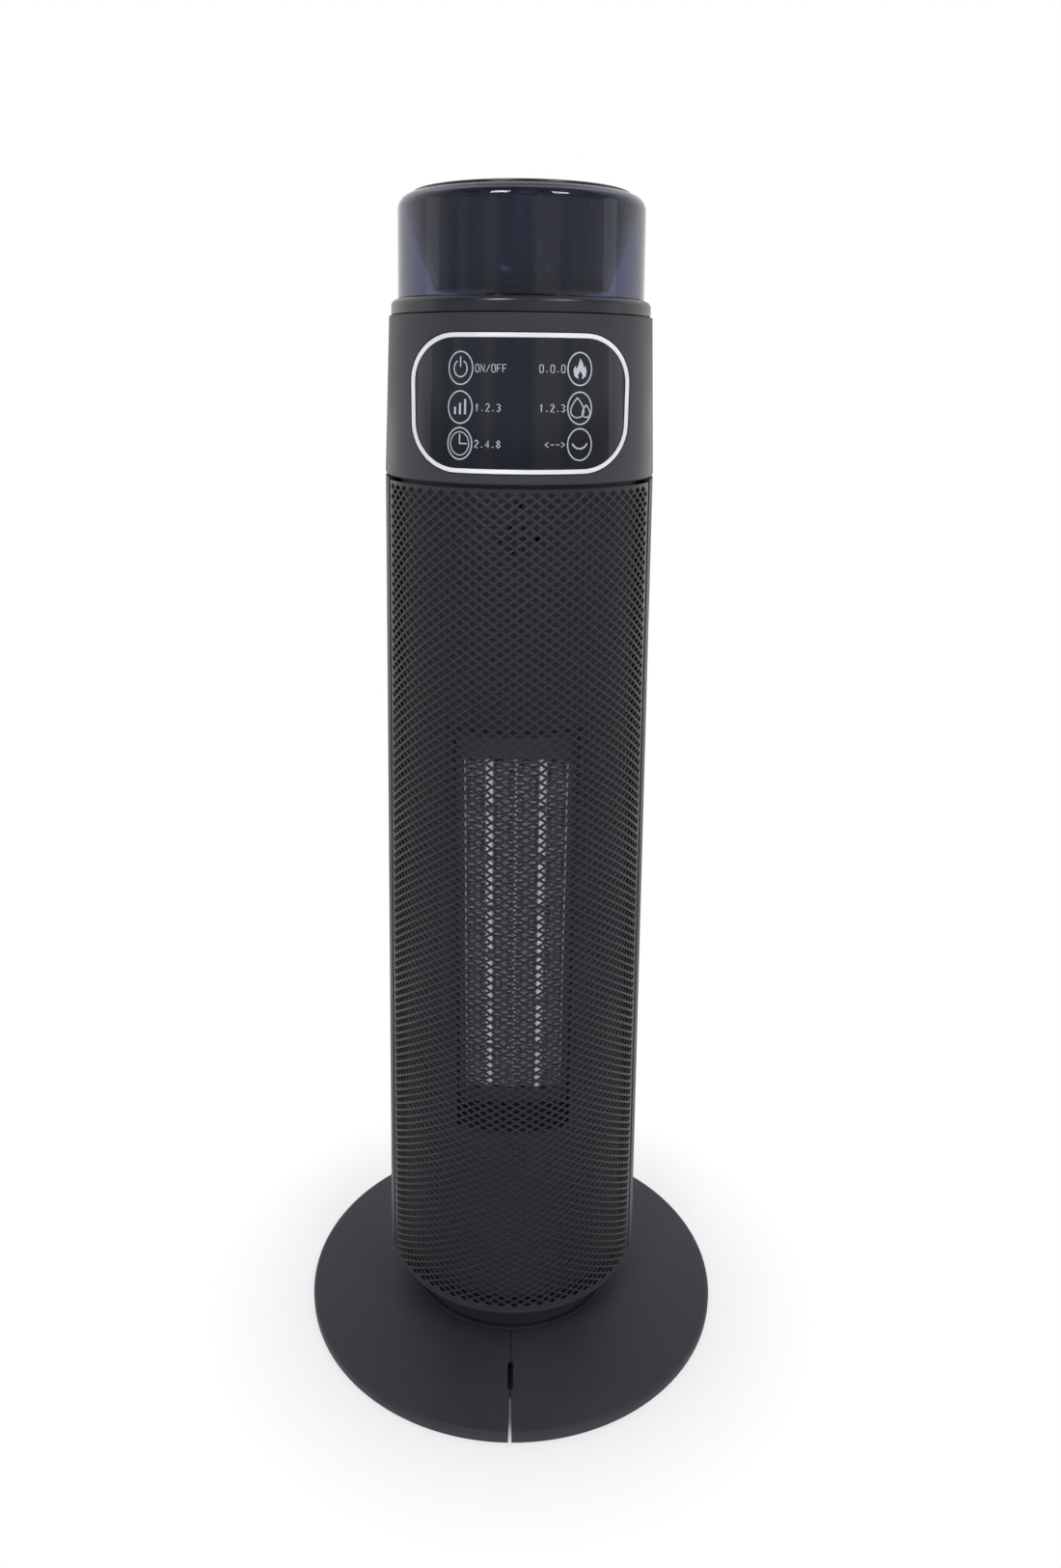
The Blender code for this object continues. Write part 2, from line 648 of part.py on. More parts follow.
def fixed_gear():
    """Gear fixed on the neck's floor, round the pivot."""
    gear = prism("fixed_swing_gear", gear_outline(GEAR_TEETH, -pi / 2), GEAR_THICKNESS, "gear_white")
    move(gear, (0.0, 0.0, GEAR_BOTTOM))
    cut(gear, rod(
        "gear_bore", PIVOT_RADIUS + CLEARANCE, (0.0, 0.0, GEAR_BOTTOM - OVERRUN),
        (0.0, 0.0, GEAR_TOP + OVERRUN)))


def swing_pinion(tower):
    """Pinion and shaft of the swing motor, at the front of the fixed gear."""
    axis = axis_empty("pinion_axis", (0.0, -SWING_REACH, GEAR_BOTTOM))
    axis.parent = tower
    phase = pi / 2 + pi / PINION_TEETH
    pinion = prism("swing_pinion", gear_outline(PINION_TEETH, phase), GEAR_THICKNESS, "gear_white")
    move(pinion, (0.0, 0.0, 0.0), axis)
    shaft_top = CAP_FLOOR + PINION_SHAFT_REACH - GEAR_BOTTOM
    shaft = rod("pinion_shaft", PINION_SHAFT_RADIUS, (0.0, 0.0, GEAR_THICKNESS / 2), (0.0, 0.0, shaft_top))
    move(shaft, (0.0, 0.0, 0.0), axis)
    fuse(pinion, shaft)


def bottom_cap():
    """Floor of the tower, with the pivot tube that hangs through the gear and the neck."""
    side = TOWER_BOTTOM_RADIUS
    bore = PIVOT_RADIUS - PIVOT_WALL
    lip = CAP_LIP_RADIUS
    cap = turned("bottom_cap", [
        (lip, CAP_TOP + BOTTOM_CAP_LIP),
        (lip, CAP_TOP),
        (side, CAP_TOP),
        (side - BOTTOM_CAP_INSET, CAP_BOTTOM),
        (PIVOT_RADIUS, CAP_BOTTOM),
        (PIVOT_RADIUS, PIVOT_END),
        (bore, PIVOT_END),
        (bore, CAP_FLOOR),
        (side - BOTTOM_CAP_INSET - BOTTOM_CAP_WALL, CAP_FLOOR),
        (lip - BOTTOM_CAP_WALL, CAP_TOP),
        (lip - BOTTOM_CAP_WALL, CAP_TOP + BOTTOM_CAP_LIP),
    ], "charcoal")
    rail = block(
        "power_rail", (-POWER_BOARD_WIDTH / 2, POWER_BOARD_PLACE, CAP_FLOOR - BOTTOM_CAP_WALL / 2),
        (POWER_BOARD_WIDTH / 2, POWER_BOARD_PLACE + BOARD_THICKNESS, CAP_FLOOR + POWER_RAIL_HEIGHT))
    fuse(cap, rail)
    cut(cap, rod(
        "cap_shaft_hole", PINION_SHAFT_RADIUS + CLEARANCE * 2, (0.0, -SWING_REACH, CAP_BOTTOM - OVERRUN),
        (0.0, -SWING_REACH, CAP_FLOOR + OVERRUN)))


def pivot_clip():
    """Retaining ring on the pivot tube, under the neck."""
    top = NECK_BOTTOM - CLEARANCE
    turned("pivot_clip", [
        (PIVOT_CLIP_RADIUS, top),
        (PIVOT_CLIP_RADIUS, top - PIVOT_CLIP_HEIGHT),
        (PIVOT_RADIUS + CLEARANCE, top - PIVOT_CLIP_HEIGHT),
        (PIVOT_RADIUS + CLEARANCE, top),
    ], "steel", steps=SMALL_STEPS)


def swing_motor():
    """Flat geared motor on the tower's floor, above the pinion."""
    bottom = CAP_FLOOR + CLEARANCE
    top = bottom + SWING_MOTOR_HEIGHT
    motor = turned("swing_motor", [
        (SWING_MOTOR_RADIUS - MOTOR_EAR_HEIGHT, top),
        (SWING_MOTOR_RADIUS, top - MOTOR_EAR_HEIGHT),
        (SWING_MOTOR_RADIUS, bottom),
        (PINION_SHAFT_RADIUS + CLEARANCE, bottom),
        (PINION_SHAFT_RADIUS + CLEARANCE, top),
    ], "steel", steps=MOTOR_STEPS)
    ears = prism("swing_motor_ears", [
        (-SWING_MOTOR_RADIUS - MOTOR_EAR_RADIUS * 2, -MOTOR_EAR_RADIUS),
        (SWING_MOTOR_RADIUS + MOTOR_EAR_RADIUS * 2, -MOTOR_EAR_RADIUS),
        (SWING_MOTOR_RADIUS + MOTOR_EAR_RADIUS * 2, MOTOR_EAR_RADIUS),
        (-SWING_MOTOR_RADIUS - MOTOR_EAR_RADIUS * 2, MOTOR_EAR_RADIUS),
    ], MOTOR_EAR_HEIGHT)
    cut(ears, rod("ear_bore", SWING_MOTOR_RADIUS / 2, (0.0, -SWING_REACH, bottom - OVERRUN),
                  (0.0, -SWING_REACH, bottom + OVERRUN)))
    move(ears, (0.0, -SWING_REACH, bottom))
    move(motor, (0.0, -SWING_REACH, 0.0))
    fuse(motor, ears)


def rear_housing():
    """Back shell of the tower, with inlet slots behind the fan."""
    sweep = tau - 2 * GRILLE_HALF_ANGLE
    steps = ceil(ROUND_STEPS * sweep / tau)
    shell = turned("rear_housing", [
        (tower_radius(SHELL_TOP), SHELL_TOP),
        (tower_radius(TOWER_BOTTOM), TOWER_BOTTOM),
    ], "charcoal", steps=steps, sweep=sweep, start=GRILLE_HALF_ANGLE - pi / 2, closed=False)
    thicken(shell, TOWER_WALL)
    pitch = (DUCT_TOP - DUCT_BOTTOM) / INLET_ROWS
    slots = []
    for row in range(INLET_ROWS):
        middle = DUCT_BOTTOM + pitch * (row + 1 / 2)
        wide = tower_radius(middle) * sin(INLET_HALF_ANGLE)
        for low, high in ((-wide, -INLET_POST / 2), (INLET_POST / 2, wide)):
            slots.append(block(
                "slot", (low, FAN_OFFSET, middle - INLET_SLOT_HEIGHT / 2),
                (high, TOWER_BOTTOM_RADIUS + OVERRUN, middle + INLET_SLOT_HEIGHT / 2)))
    cut(shell, gather("inlet_slots", slots))
    back = tower_radius(GLAND_HEIGHT)
    cut(shell, rod(
        "gland_hole", GLAND_RADIUS + CLEARANCE, (0.0, back - TOWER_WALL - OVERRUN, GLAND_HEIGHT),
        (0.0, back + OVERRUN, GLAND_HEIGHT)))


def cord_gland():
    """Bush where a mains cord would enter, with its flange outside."""
    gland = turned("cord_gland", [
        (GLAND_RADIUS, GLAND_FLANGE * 2 + TOWER_WALL),
        (GLAND_RADIUS, GLAND_FLANGE),
        (GLAND_FLANGE_RADIUS, GLAND_FLANGE),
        (GLAND_FLANGE_RADIUS, 0.0),
        (GLAND_BORE, 0.0),
        (GLAND_BORE, GLAND_FLANGE * 2 + TOWER_WALL),
    ], "rubber", steps=SMALL_STEPS)
    gland.rotation_euler.x = pi / 2
    back = tower_radius(GLAND_HEIGHT - GLAND_FLANGE_RADIUS)
    move(gland, (0.0, back + CLEARANCE + GLAND_FLANGE, GLAND_HEIGHT))


def lattice(width, height):
    """A flat lattice in X and Z round the origin: rhombic cells, inset and opened, in a frame."""
    work = bmesh.new()
    columns = 2 * GRILLE_COLUMNS
    rows = 2 * GRILLE_ROWS
    spots = {}

    def spot(column, row):
        if (column, row) not in spots:
            across = (column / columns - 1 / 2) * width
            spots[column, row] = work.verts.new((across, 0.0, (row / rows - 1 / 2) * height))
        return spots[column, row]

    cells = []
    for row in range(rows + 1):
        for column in range(row % 2, columns + 1, 2):
            corners = []
            for near in ((column, row - 1), (column + 1, row), (column, row + 1), (column - 1, row)):
                inside = 0 <= near[0] <= columns and 0 <= near[1] <= rows
                corner = near if inside else (column, row)
                if corner not in corners:
                    corners.append(corner)
            face = work.faces.new([spot(*corner) for corner in corners])
            if (column, row) not in corners:
                cells.append(face)
    border = [edge for edge in work.edges if edge.is_boundary]
    grown = bmesh.ops.extrude_edge_only(work, edges=border)["geom"]
    for vertex in [item for item in grown if isinstance(item, bmesh.types.BMVert)]:
        for axis, size in ((0, width), (2, height)):
            if abs(abs(vertex.co[axis]) - size / 2) < WELD_DISTANCE:
                vertex.co[axis] += GRILLE_FRAME if vertex.co[axis] > 0 else -GRILLE_FRAME
    bmesh.ops.inset_individual(work, faces=cells, thickness=GRILLE_STRAND / 2, use_even_offset=True)
    bmesh.ops.delete(work, geom=cells, context="FACES")
    bmesh.ops.recalc_face_normals(work, faces=work.faces)
    work.faces.ensure_lookup_table()
    if work.faces[0].normal.y > 0:
        bmesh.ops.reverse_faces(work, faces=work.faces)
    return work


def front_grille():
    """Lattice of crossing strands wrapped round the front of the tower."""
    full_width = 2 * (GRILLE_HALF_ANGLE * TOWER_TOP_RADIUS - GRILLE_EDGE_GAP)
    full_height = SHELL_TOP - TOWER_BOTTOM
    work = lattice(full_width - 2 * GRILLE_FRAME, full_height - 2 * GRILLE_FRAME)
    middle = (SHELL_TOP + TOWER_BOTTOM) / 2
    for vertex in work.verts:
        angle = vertex.co.x / TOWER_TOP_RADIUS
        height = vertex.co.z + middle
        radius = tower_radius(height)
        vertex.co = (radius * sin(angle), -radius * cos(angle), height)
    thicken(place(mesh_object("front_grille", work), "mesh"), GRILLE_WALL, even=False)


def sound_holes(name):
    """Cutter for the small holes in front of the buzzer and the remote's receiver."""
    pitch = SOUND_HOLE_PITCH
    spot_shares = [
        (-0.5, 1), (0.5, 1), (-1.5, 0), (-0.5, 0), (0.5, 0), (1.5, 0), (-0.5, -1), (0.5, -1), (0, 3)]
    holes = []
    for across, up in spot_shares:
        height = SOUND_HOLE_CENTRE + up * pitch * sqrt(3) / 2
        holes.append(rod(
            "hole", SOUND_HOLE_RADIUS, (across * pitch, -TOWER_BOTTOM_RADIUS, height),
            (across * pitch, -HEATER_FACE, height), steps=HOLE_STEPS))
    return gather(name, holes)


def front_duct_cover():
    """Inner cover behind the grille, with the outlet tunnel to the heating element."""
    steps = ceil(ROUND_STEPS * COVER_HALF_ANGLE / pi)
    cover = turned("front_duct_cover", [
        (tower_radius(SHELL_TOP) - COVER_INSET, SHELL_TOP),
        (tower_radius(TOWER_BOTTOM) - COVER_INSET, TOWER_BOTTOM),
    ], "inner_plastic", steps=steps, sweep=2 * COVER_HALF_ANGLE, start=-pi / 2 - COVER_HALF_ANGLE,
        closed=False)
    thicken(cover, COVER_WALL)
    core_inset = COVER_INSET + COVER_WALL / 2
    core = turned("tunnel_core", [
        (0.0, SHELL_TOP),
        (tower_radius(SHELL_TOP) - core_inset, SHELL_TOP),
        (tower_radius(TOWER_BOTTOM) - core_inset, TOWER_BOTTOM),
        (0.0, TOWER_BOTTOM),
    ], steps=2 * steps)
    half = TUNNEL_WIDTH / 2
    walls = block(
        "tunnel_walls", (-half - TUNNEL_WALL, -TOWER_BOTTOM_RADIUS, TUNNEL_BOTTOM - TUNNEL_WALL),
        (half + TUNNEL_WALL, -HEATER_BACK, TUNNEL_TOP + TUNNEL_WALL))
    boolean(walls, core, "INTERSECT")
    fuse(cover, walls)
    cut(cover, block(
        "tunnel_space", (-half, -TOWER_BOTTOM_RADIUS - OVERRUN, TUNNEL_BOTTOM),
        (half, -HEATER_BACK + OVERRUN, TUNNEL_TOP)))
    cut(cover, sound_holes("sound_holes"))


def heater_frame():
    """Frame in the tunnel, which holds the heating element."""
    half = TUNNEL_WIDTH / 2 - CLEARANCE
    frame = block(
        "heater_frame", (-half, -HEATER_FACE, TUNNEL_BOTTOM + CLEARANCE),
        (half, -HEATER_BACK, TUNNEL_TOP - CLEARANCE), "inner_plastic")
    cut(frame, block(
        "heater_window", (-HEATER_WIDTH / 2, -HEATER_FACE - OVERRUN, HEATER_BOTTOM),
        (HEATER_WIDTH / 2, -HEATER_BACK + OVERRUN, HEATER_TOP)))


def heater_bar(name, left, width, finish):
    """An upright bar of the heating element."""
    return block(
        name, (left, -HEATER_FACE + FIN_SETBACK, HEATER_BOTTOM + CLEARANCE),
        (left + width, -HEATER_BACK - CLEARANCE, HEATER_TOP - CLEARANCE), finish)


def heater_fins(name, left, width):
    """Corrugated aluminium band that runs up the element in a zigzag."""
    half = FIN_THICKNESS / 2
    bottom = HEATER_BOTTOM + CLEARANCE + FIN_THICKNESS
    top = HEATER_TOP - CLEARANCE - FIN_THICKNESS
    folds = 2 * round((top - bottom) / FIN_PITCH)
    work = bmesh.new()
    columns = []
    for fold in range(folds + 1):
        across = left + (half if fold % 2 else width - half)
        height = bottom + (top - bottom) * fold / folds
        front = work.verts.new((across, -HEATER_FACE + FIN_SETBACK, height))
        back = work.verts.new((across, -HEATER_BACK - CLEARANCE, height))
        columns.append((front, back))
    for first, second in zip(columns, columns[1:]):
        work.faces.new((first[0], second[0], second[1], first[1]))
    fins = place(mesh_object(name, work), "aluminium")
    wall = thicken(fins, FIN_THICKNESS, even=False).modifiers["wall"]
    wall.offset = 0.0


def heating_element():
    """Four fin bands, two ceramic bars and the divider, side by side in the frame."""
    gaps = 8
    width = (HEATER_WIDTH - 2 * CERAMIC_WIDTH - DIVIDER_WIDTH - gaps * CLEARANCE) / 4
    left = -HEATER_WIDTH / 2 + CLEARANCE
    plan = ("fin_bank_1", "ceramic_bar_left", "fin_bank_2", "centre_divider",
            "fin_bank_3", "ceramic_bar_right", "fin_bank_4")
    for name in plan:
        if name.startswith("fin"):
            size = width
            heater_fins(name, left, size)
        elif name.startswith("ceramic"):
            size = CERAMIC_WIDTH
            heater_bar(name, left, size, "ceramic")
        else:
            size = DIVIDER_WIDTH
            heater_bar(name, left, size, "aluminium")
        left += size + CLEARANCE


def thermal_cutout():
    """Safety cut-out on the back of the frame, above the fan."""
    middle = (HEATER_TOP + TUNNEL_TOP) / 2
    block(
        "thermal_cutout", (-CUTOUT_LENGTH / 2, -HEATER_BACK + CLEARANCE, middle - CUTOUT_WIDTH / 2),
        (CUTOUT_LENGTH / 2, -HEATER_BACK + CLEARANCE + CUTOUT_DEPTH, middle + CUTOUT_WIDTH / 2),
        "trim_white", edge=CUTOUT_EDGE)


def duct_plate(name, bottom):
    """Flat end of the fan housing: square at the front and round at the back."""
    outer = FAN_CASE_RADIUS + DUCT_WALL
    front = -HEATER_BACK + CLEARANCE
    outline = [(-outer, front), (outer, front)]
    outline += arc((0.0, FAN_OFFSET), outer, 0.0, pi, 2 * DUCT_ARC_STEPS)
    return move(prism(name, outline, DUCT_PLATE), (0.0, 0.0, bottom))


def duct_wall(name, side, wrap, finish=None):
    """Side wall of the fan housing: straight from the heater, then round the fan."""
    front = -HEATER_BACK + CLEARANCE
    centre = (0.0, FAN_OFFSET)
    outer = arc(centre, FAN_CASE_RADIUS + DUCT_WALL, 0.0, wrap, DUCT_ARC_STEPS)
    inner = arc(centre, FAN_CASE_RADIUS, wrap, 0.0, DUCT_ARC_STEPS)
    outline = [(FAN_CASE_RADIUS + DUCT_WALL, front)] + outer + inner + [(FAN_CASE_RADIUS, front)]
    outline = [(side * across, along) for across, along in outline]
    return move(prism(name, outline, DUCT_TOP - DUCT_BOTTOM, finish), (0.0, 0.0, DUCT_BOTTOM))


def fan_housing():
    """Scroll housing round the fan, open to the heater in front and to the inlet behind."""
    housing = duct_wall("fan_housing", -1, DUCT_SCROLL_ANGLE, "inner_plastic")
    fuse(housing, duct_wall("fan_tongue", 1, DUCT_TONGUE_ANGLE))
    fuse(housing, duct_plate("duct_floor", DUCT_BOTTOM))
    fuse(housing, duct_plate("duct_roof", DUCT_TOP - DUCT_PLATE))
    cut(housing, rod(
        "bearing_hole", BUSH_RADIUS + CLEARANCE, (0.0, FAN_OFFSET, DUCT_BOTTOM - OVERRUN),
        (0.0, FAN_OFFSET, DUCT_BOTTOM + DUCT_PLATE + OVERRUN)))
    cut(housing, rod(
        "motor_hole", BUSH_RADIUS + CLEARANCE, (0.0, FAN_OFFSET, DUCT_TOP - DUCT_PLATE - OVERRUN),
        (0.0, FAN_OFFSET, DUCT_TOP + OVERRUN)))


def bearing_bush():
    """Cup bearing for the fan's lower end."""
    bore = FAN_SHAFT_RADIUS + CLEARANCE
    floor = DUCT_BOTTOM - CLEARANCE
    bush = turned("bearing_bush", [
        (0.0, floor),
        (bore, floor),
        (bore, DUCT_BOTTOM + DUCT_PLATE),
        (BUSH_RADIUS, DUCT_BOTTOM + DUCT_PLATE),
        (BUSH_RADIUS, floor),
        (BUSH_FLANGE_RADIUS, floor),
        (BUSH_FLANGE_RADIUS, floor - BUSH_FLANGE),
        (0.0, floor - BUSH_FLANGE),
    ], "brass", steps=SMALL_STEPS)
    move(bush, (0.0, FAN_OFFSET, 0.0))


def blade_outline(turn):
    """Section of one curved blade."""
    middle_line = []
    for share in (0.0, 0.5, 1.0):
        radius = FAN_RADIUS - FAN_BLADE_THICKNESS - FAN_BLADE_DEPTH * (1 - share)
        aside = FAN_BLADE_DEPTH * share * sin(FAN_BLADE_LEAN) + FAN_BLADE_CURVE * sin(pi * share)
        middle_line.append((radius, aside))
    near = [(radius, aside - FAN_BLADE_THICKNESS / 2) for radius, aside in middle_line]
    far = [(radius, aside + FAN_BLADE_THICKNESS / 2) for radius, aside in reversed(middle_line)]
    turned_points = []
    for along, aside in near + far:
        length = sqrt(along * along + aside * aside)
        scale = min(1.0, (FAN_RADIUS - FAN_BLADE_THICKNESS / 2) / length)
        x = along * cos(turn) - aside * sin(turn)
        y = along * sin(turn) + aside * cos(turn)
        turned_points.append((x * scale, y * scale))
    return turned_points


def fan_rotor(axis):
    """Cross-flow rotor: curved blades between two end discs and a middle ring."""
    height = FAN_TOP - FAN_BOTTOM
    rotor = turned("fan_rotor", [
        (0.0, FAN_DISC),
        (FAN_RADIUS, FAN_DISC),
        (FAN_RADIUS, 0.0),
        (FAN_SHAFT_RADIUS, 0.0),
        (FAN_SHAFT_RADIUS, DUCT_BOTTOM - FAN_BOTTOM),
        (0.0, DUCT_BOTTOM - FAN_BOTTOM),
    ], "inner_plastic", steps=FAN_STEPS)
    blades = prism(
        "fan_blades", [blade_outline(tau * blade / FAN_BLADE_COUNT) for blade in range(FAN_BLADE_COUNT)],
        height - FAN_DISC)
    bore = FAN_SHAFT_RADIUS + CLEARANCE
    top_disc = turned("fan_top_disc", [
        (bore, height),
        (FAN_RADIUS, height),
        (FAN_RADIUS, height - FAN_DISC),
        (FAN_HUB_RADIUS, height - FAN_DISC),
        (FAN_HUB_RADIUS, height - FAN_HUB_HEIGHT),
        (bore, height - FAN_HUB_HEIGHT),
    ], steps=FAN_STEPS)
    ring_inner = FAN_RADIUS - FAN_BLADE_THICKNESS - FAN_BLADE_DEPTH
    middle_ring = turned("fan_middle_ring", [
        (FAN_RADIUS, (height + FAN_DISC) / 2),
        (FAN_RADIUS, (height - FAN_DISC) / 2),
        (ring_inner, (height - FAN_DISC) / 2),
        (ring_inner, (height + FAN_DISC) / 2),
    ], steps=FAN_STEPS)
    move(rotor, (0.0, 0.0, 0.0), axis)
    for tool, lift in ((blades, FAN_DISC / 2), (top_disc, 0.0), (middle_ring, 0.0)):
        move(tool, (0.0, 0.0, lift), axis)
        fuse(rotor, tool)


def motor_bracket():
    """Flat strap under the fan's motor, across the roof of the fan housing."""
    half = FAN_CASE_RADIUS + DUCT_WALL
    bottom = DUCT_TOP + CLEARANCE
    bracket = block(
        "motor_bracket", (-half, FAN_OFFSET - BRACKET_WIDTH / 2, bottom),
        (half, FAN_OFFSET + BRACKET_WIDTH / 2, bottom + BRACKET_THICKNESS), "steel")
    cut(bracket, rod(
        "bracket_hole", FAN_SHAFT_RADIUS * 2, (0.0, FAN_OFFSET, bottom - OVERRUN),
        (0.0, FAN_OFFSET, bottom + OVERRUN)))


def fan_motor():
    """Motor above the fan, with a bore for the shaft."""
    bottom = DUCT_TOP + 2 * CLEARANCE + BRACKET_THICKNESS
    top = bottom + FAN_MOTOR_HEIGHT
    edge = FAN_MOTOR_EDGE
    bore = FAN_SHAFT_RADIUS + CLEARANCE
    motor = turned("fan_motor", [
        (0.0, top + FAN_MOTOR_CAP),
        (FAN_MOTOR_CAP_RADIUS, top + FAN_MOTOR_CAP),
        (FAN_MOTOR_CAP_RADIUS, top),
        (FAN_MOTOR_RADIUS - edge, top),
        (FAN_MOTOR_RADIUS, top - edge),
        (FAN_MOTOR_RADIUS, bottom + edge),
        (FAN_MOTOR_RADIUS - edge, bottom),
        (bore, bottom),
        (bore, top),
        (0.0, top),
    ], "steel", steps=SMALL_STEPS)
    move(motor, (0.0, FAN_OFFSET, 0.0))


def motor_shaft(axis):
    """Shaft from the motor down into the rotor's hub."""
    bottom = FAN_TOP - FAN_BOTTOM - FAN_HUB_HEIGHT
    top = DUCT_TOP + CLEARANCE + BRACKET_THICKNESS + FAN_MOTOR_HEIGHT - FAN_BOTTOM
    shaft = rod("motor_shaft", FAN_SHAFT_RADIUS, (0.0, 0.0, bottom), (0.0, 0.0, top), "steel")
    move(shaft, (0.0, 0.0, 0.0), axis)


def panel_prism(name, margin):
    """Cutter with the panel's rounded outline, seen from the front, grown by a margin."""
    half = PANEL_HALF_WIDTH + margin
    low = PANEL_BOTTOM - margin
    high = PANEL_BOTTOM + PANEL_HEIGHT + margin
    round_radius = PANEL_CORNER + margin
    outline = []
    for corner, (across, up) in enumerate((
            (half - round_radius, high - round_radius), (-half + round_radius, high - round_radius),
            (-half + round_radius, low + round_radius), (half - round_radius, low + round_radius))):
        first = corner * pi / 2
        outline += arc((across, up), round_radius, first, first + pi / 2, PANEL_CORNER_STEPS)
    shape = prism(name, outline, TOWER_TOP_RADIUS + 2 * OVERRUN)
    shape.rotation_euler.x = pi / 2
    return shape


def control_ring(name, outer, inner, finish=None):
    """Thin ring round the panel's height, between two offsets from the control section."""
    low = PANEL_BOTTOM - OVERRUN / 2
    high = PANEL_BOTTOM + PANEL_HEIGHT + OVERRUN / 2
    return turned(name, [
        (control_radius(high) + outer, high),
        (control_radius(low) + outer, low),
        (control_radius(low) + inner, low),
        (control_radius(high) + inner, high),
    ], finish)


def control_housing():
    """Shell of the control section, with the panel's recess and two ribs for the touch board."""
    low = TOWER_TOP
    high = CONTROL_TOP
    shelf = CONTROL_TOP_RADIUS - CONTROL_SHELF
    housing = turned("control_housing", [
        (shelf, high),
        (CONTROL_TOP_RADIUS, high),
        (TOWER_TOP_RADIUS, low),
        (TOWER_TOP_RADIUS - CONTROL_WALL, low),
        (CONTROL_TOP_RADIUS - CONTROL_WALL, high - CONTROL_WALL),
        (shelf, high - CONTROL_WALL),
    ], "charcoal")
    ribs = []
    middle = PANEL_BOTTOM + PANEL_HEIGHT / 2
    for side in (-1, 1):
        across = side * BOARD_RIB_SPACING / 2
        reach = sqrt(CONTROL_TOP_RADIUS ** 2 - (BOARD_RIB_SPACING / 2 + BOARD_RIB_WIDTH / 2) ** 2)
        ribs.append(block(
            "rib", (across - BOARD_RIB_WIDTH / 2, -reach + CONTROL_WALL / 3, middle - BOARD_RIB_HEIGHT / 2),
            (across + BOARD_RIB_WIDTH / 2, -TOUCH_BOARD_PLACE - CLEARANCE, middle + BOARD_RIB_HEIGHT / 2)))
    fuse(housing, gather("board_ribs", ribs))
    recess = control_ring("panel_recess", OVERRUN, -PANEL_RECESS)
    cut(housing, boolean(recess, panel_prism("recess_outline", CLEARANCE), "INTERSECT"))


def touch_panel():
    """Glossy panel and its pale border, both wrapped round the control section."""
    bezel = control_ring("panel_bezel", PANEL_BEZEL_PROUD, -PANEL_RECESS + CLEARANCE, "trim_white")
    boolean(bezel, panel_prism("bezel_outline", 0.0), "INTERSECT")
    cut(bezel, panel_prism("bezel_inside", -PANEL_BEZEL_WIDTH))
    glass = control_ring("touch_panel", 0.0, -PANEL_RECESS + CLEARANCE, "gloss_black")
    boolean(glass, panel_prism("panel_outline", -PANEL_BEZEL_WIDTH - CLEARANCE), "INTERSECT")


def touch_board():
    """Circuit board behind the panel, on the housing's two ribs."""
    middle = PANEL_BOTTOM + PANEL_HEIGHT / 2
    block(
        "touch_board", (-TOUCH_BOARD_WIDTH / 2, -TOUCH_BOARD_PLACE, middle - TOUCH_BOARD_HEIGHT / 2),
        (TOUCH_BOARD_WIDTH / 2, -TOUCH_BOARD_PLACE + BOARD_THICKNESS, middle + TOUCH_BOARD_HEIGHT / 2),
        "board_green")


def trim_ring():
    """Glossy ring between the control section and the blue cover."""
    turned("trim_ring", [
        (TRIM_RADIUS - TRIM_EDGE, TRIM_TOP),
        (TRIM_RADIUS, TRIM_TOP - TRIM_EDGE),
        (TRIM_RADIUS, TRIM_BOTTOM),
        (TRIM_INNER_RADIUS, TRIM_BOTTOM),
        (TRIM_INNER_RADIUS, TRIM_TOP),
    ], "gloss_black")


def tank_deck():
    """Floor of the mist head, on the control section's shelf."""
    turned("tank_deck", [
        (0.0, DECK_TOP),
        (TRIM_INNER_RADIUS - CLEARANCE, DECK_TOP),
        (TRIM_INNER_RADIUS - CLEARANCE, TRIM_BOTTOM),
        (0.0, TRIM_BOTTOM),
    ], "inner_plastic")


def light_ring():
    """Ring board that carries the lights, on the deck under the blue cover."""
    bottom = DECK_TOP + CLEARANCE
    turned("light_ring", [
        (LED_RING_OUTER, bottom + LED_RING_THICKNESS),
        (LED_RING_OUTER, bottom),
        (LED_RING_INNER, bottom),
        (LED_RING_INNER, bottom + LED_RING_THICKNESS),
    ], "board_green", steps=HIDDEN_STEPS)


def mist_maker():
    """Cup, vibrating disc and seal under the tank's well."""
    cup_top = TANK_BOTTOM - CLEARANCE
    seal_bottom = cup_top - SEAL_HEIGHT
    disc_top = seal_bottom - CLEARANCE
    disc_bottom = disc_top - MIST_DISC_THICKNESS
    cup_bottom = DECK_TOP + CLEARANCE
    turned("mist_cup", [
        (0.0, cup_bottom + TANK_WALL),
        (MIST_DISC_RADIUS - SEAL_WIDTH, cup_bottom + TANK_WALL),
        (MIST_DISC_RADIUS - SEAL_WIDTH, disc_bottom - CLEARANCE),
        (MIST_DISC_RADIUS + CLEARANCE, disc_bottom - CLEARANCE),
        (MIST_DISC_RADIUS + CLEARANCE, cup_top),
        (MIST_CUP_RADIUS, cup_top),
        (MIST_CUP_RADIUS, cup_bottom),
        (0.0, cup_bottom),
    ], "inner_plastic", steps=SMALL_STEPS)
    turned("mist_disc", [
        (0.0, disc_top),
        (MIST_DISC_RADIUS, disc_top),
        (MIST_DISC_RADIUS, disc_bottom),
        (0.0, disc_bottom),
    ], "brass", steps=SMALL_STEPS)
    turned("mist_seal", [
        (MIST_DISC_RADIUS, cup_top),
        (MIST_DISC_RADIUS, seal_bottom),
        (MIST_DISC_RADIUS - SEAL_WIDTH, seal_bottom),
        (MIST_DISC_RADIUS - SEAL_WIDTH, cup_top),
    ], "rubber", steps=SMALL_STEPS)


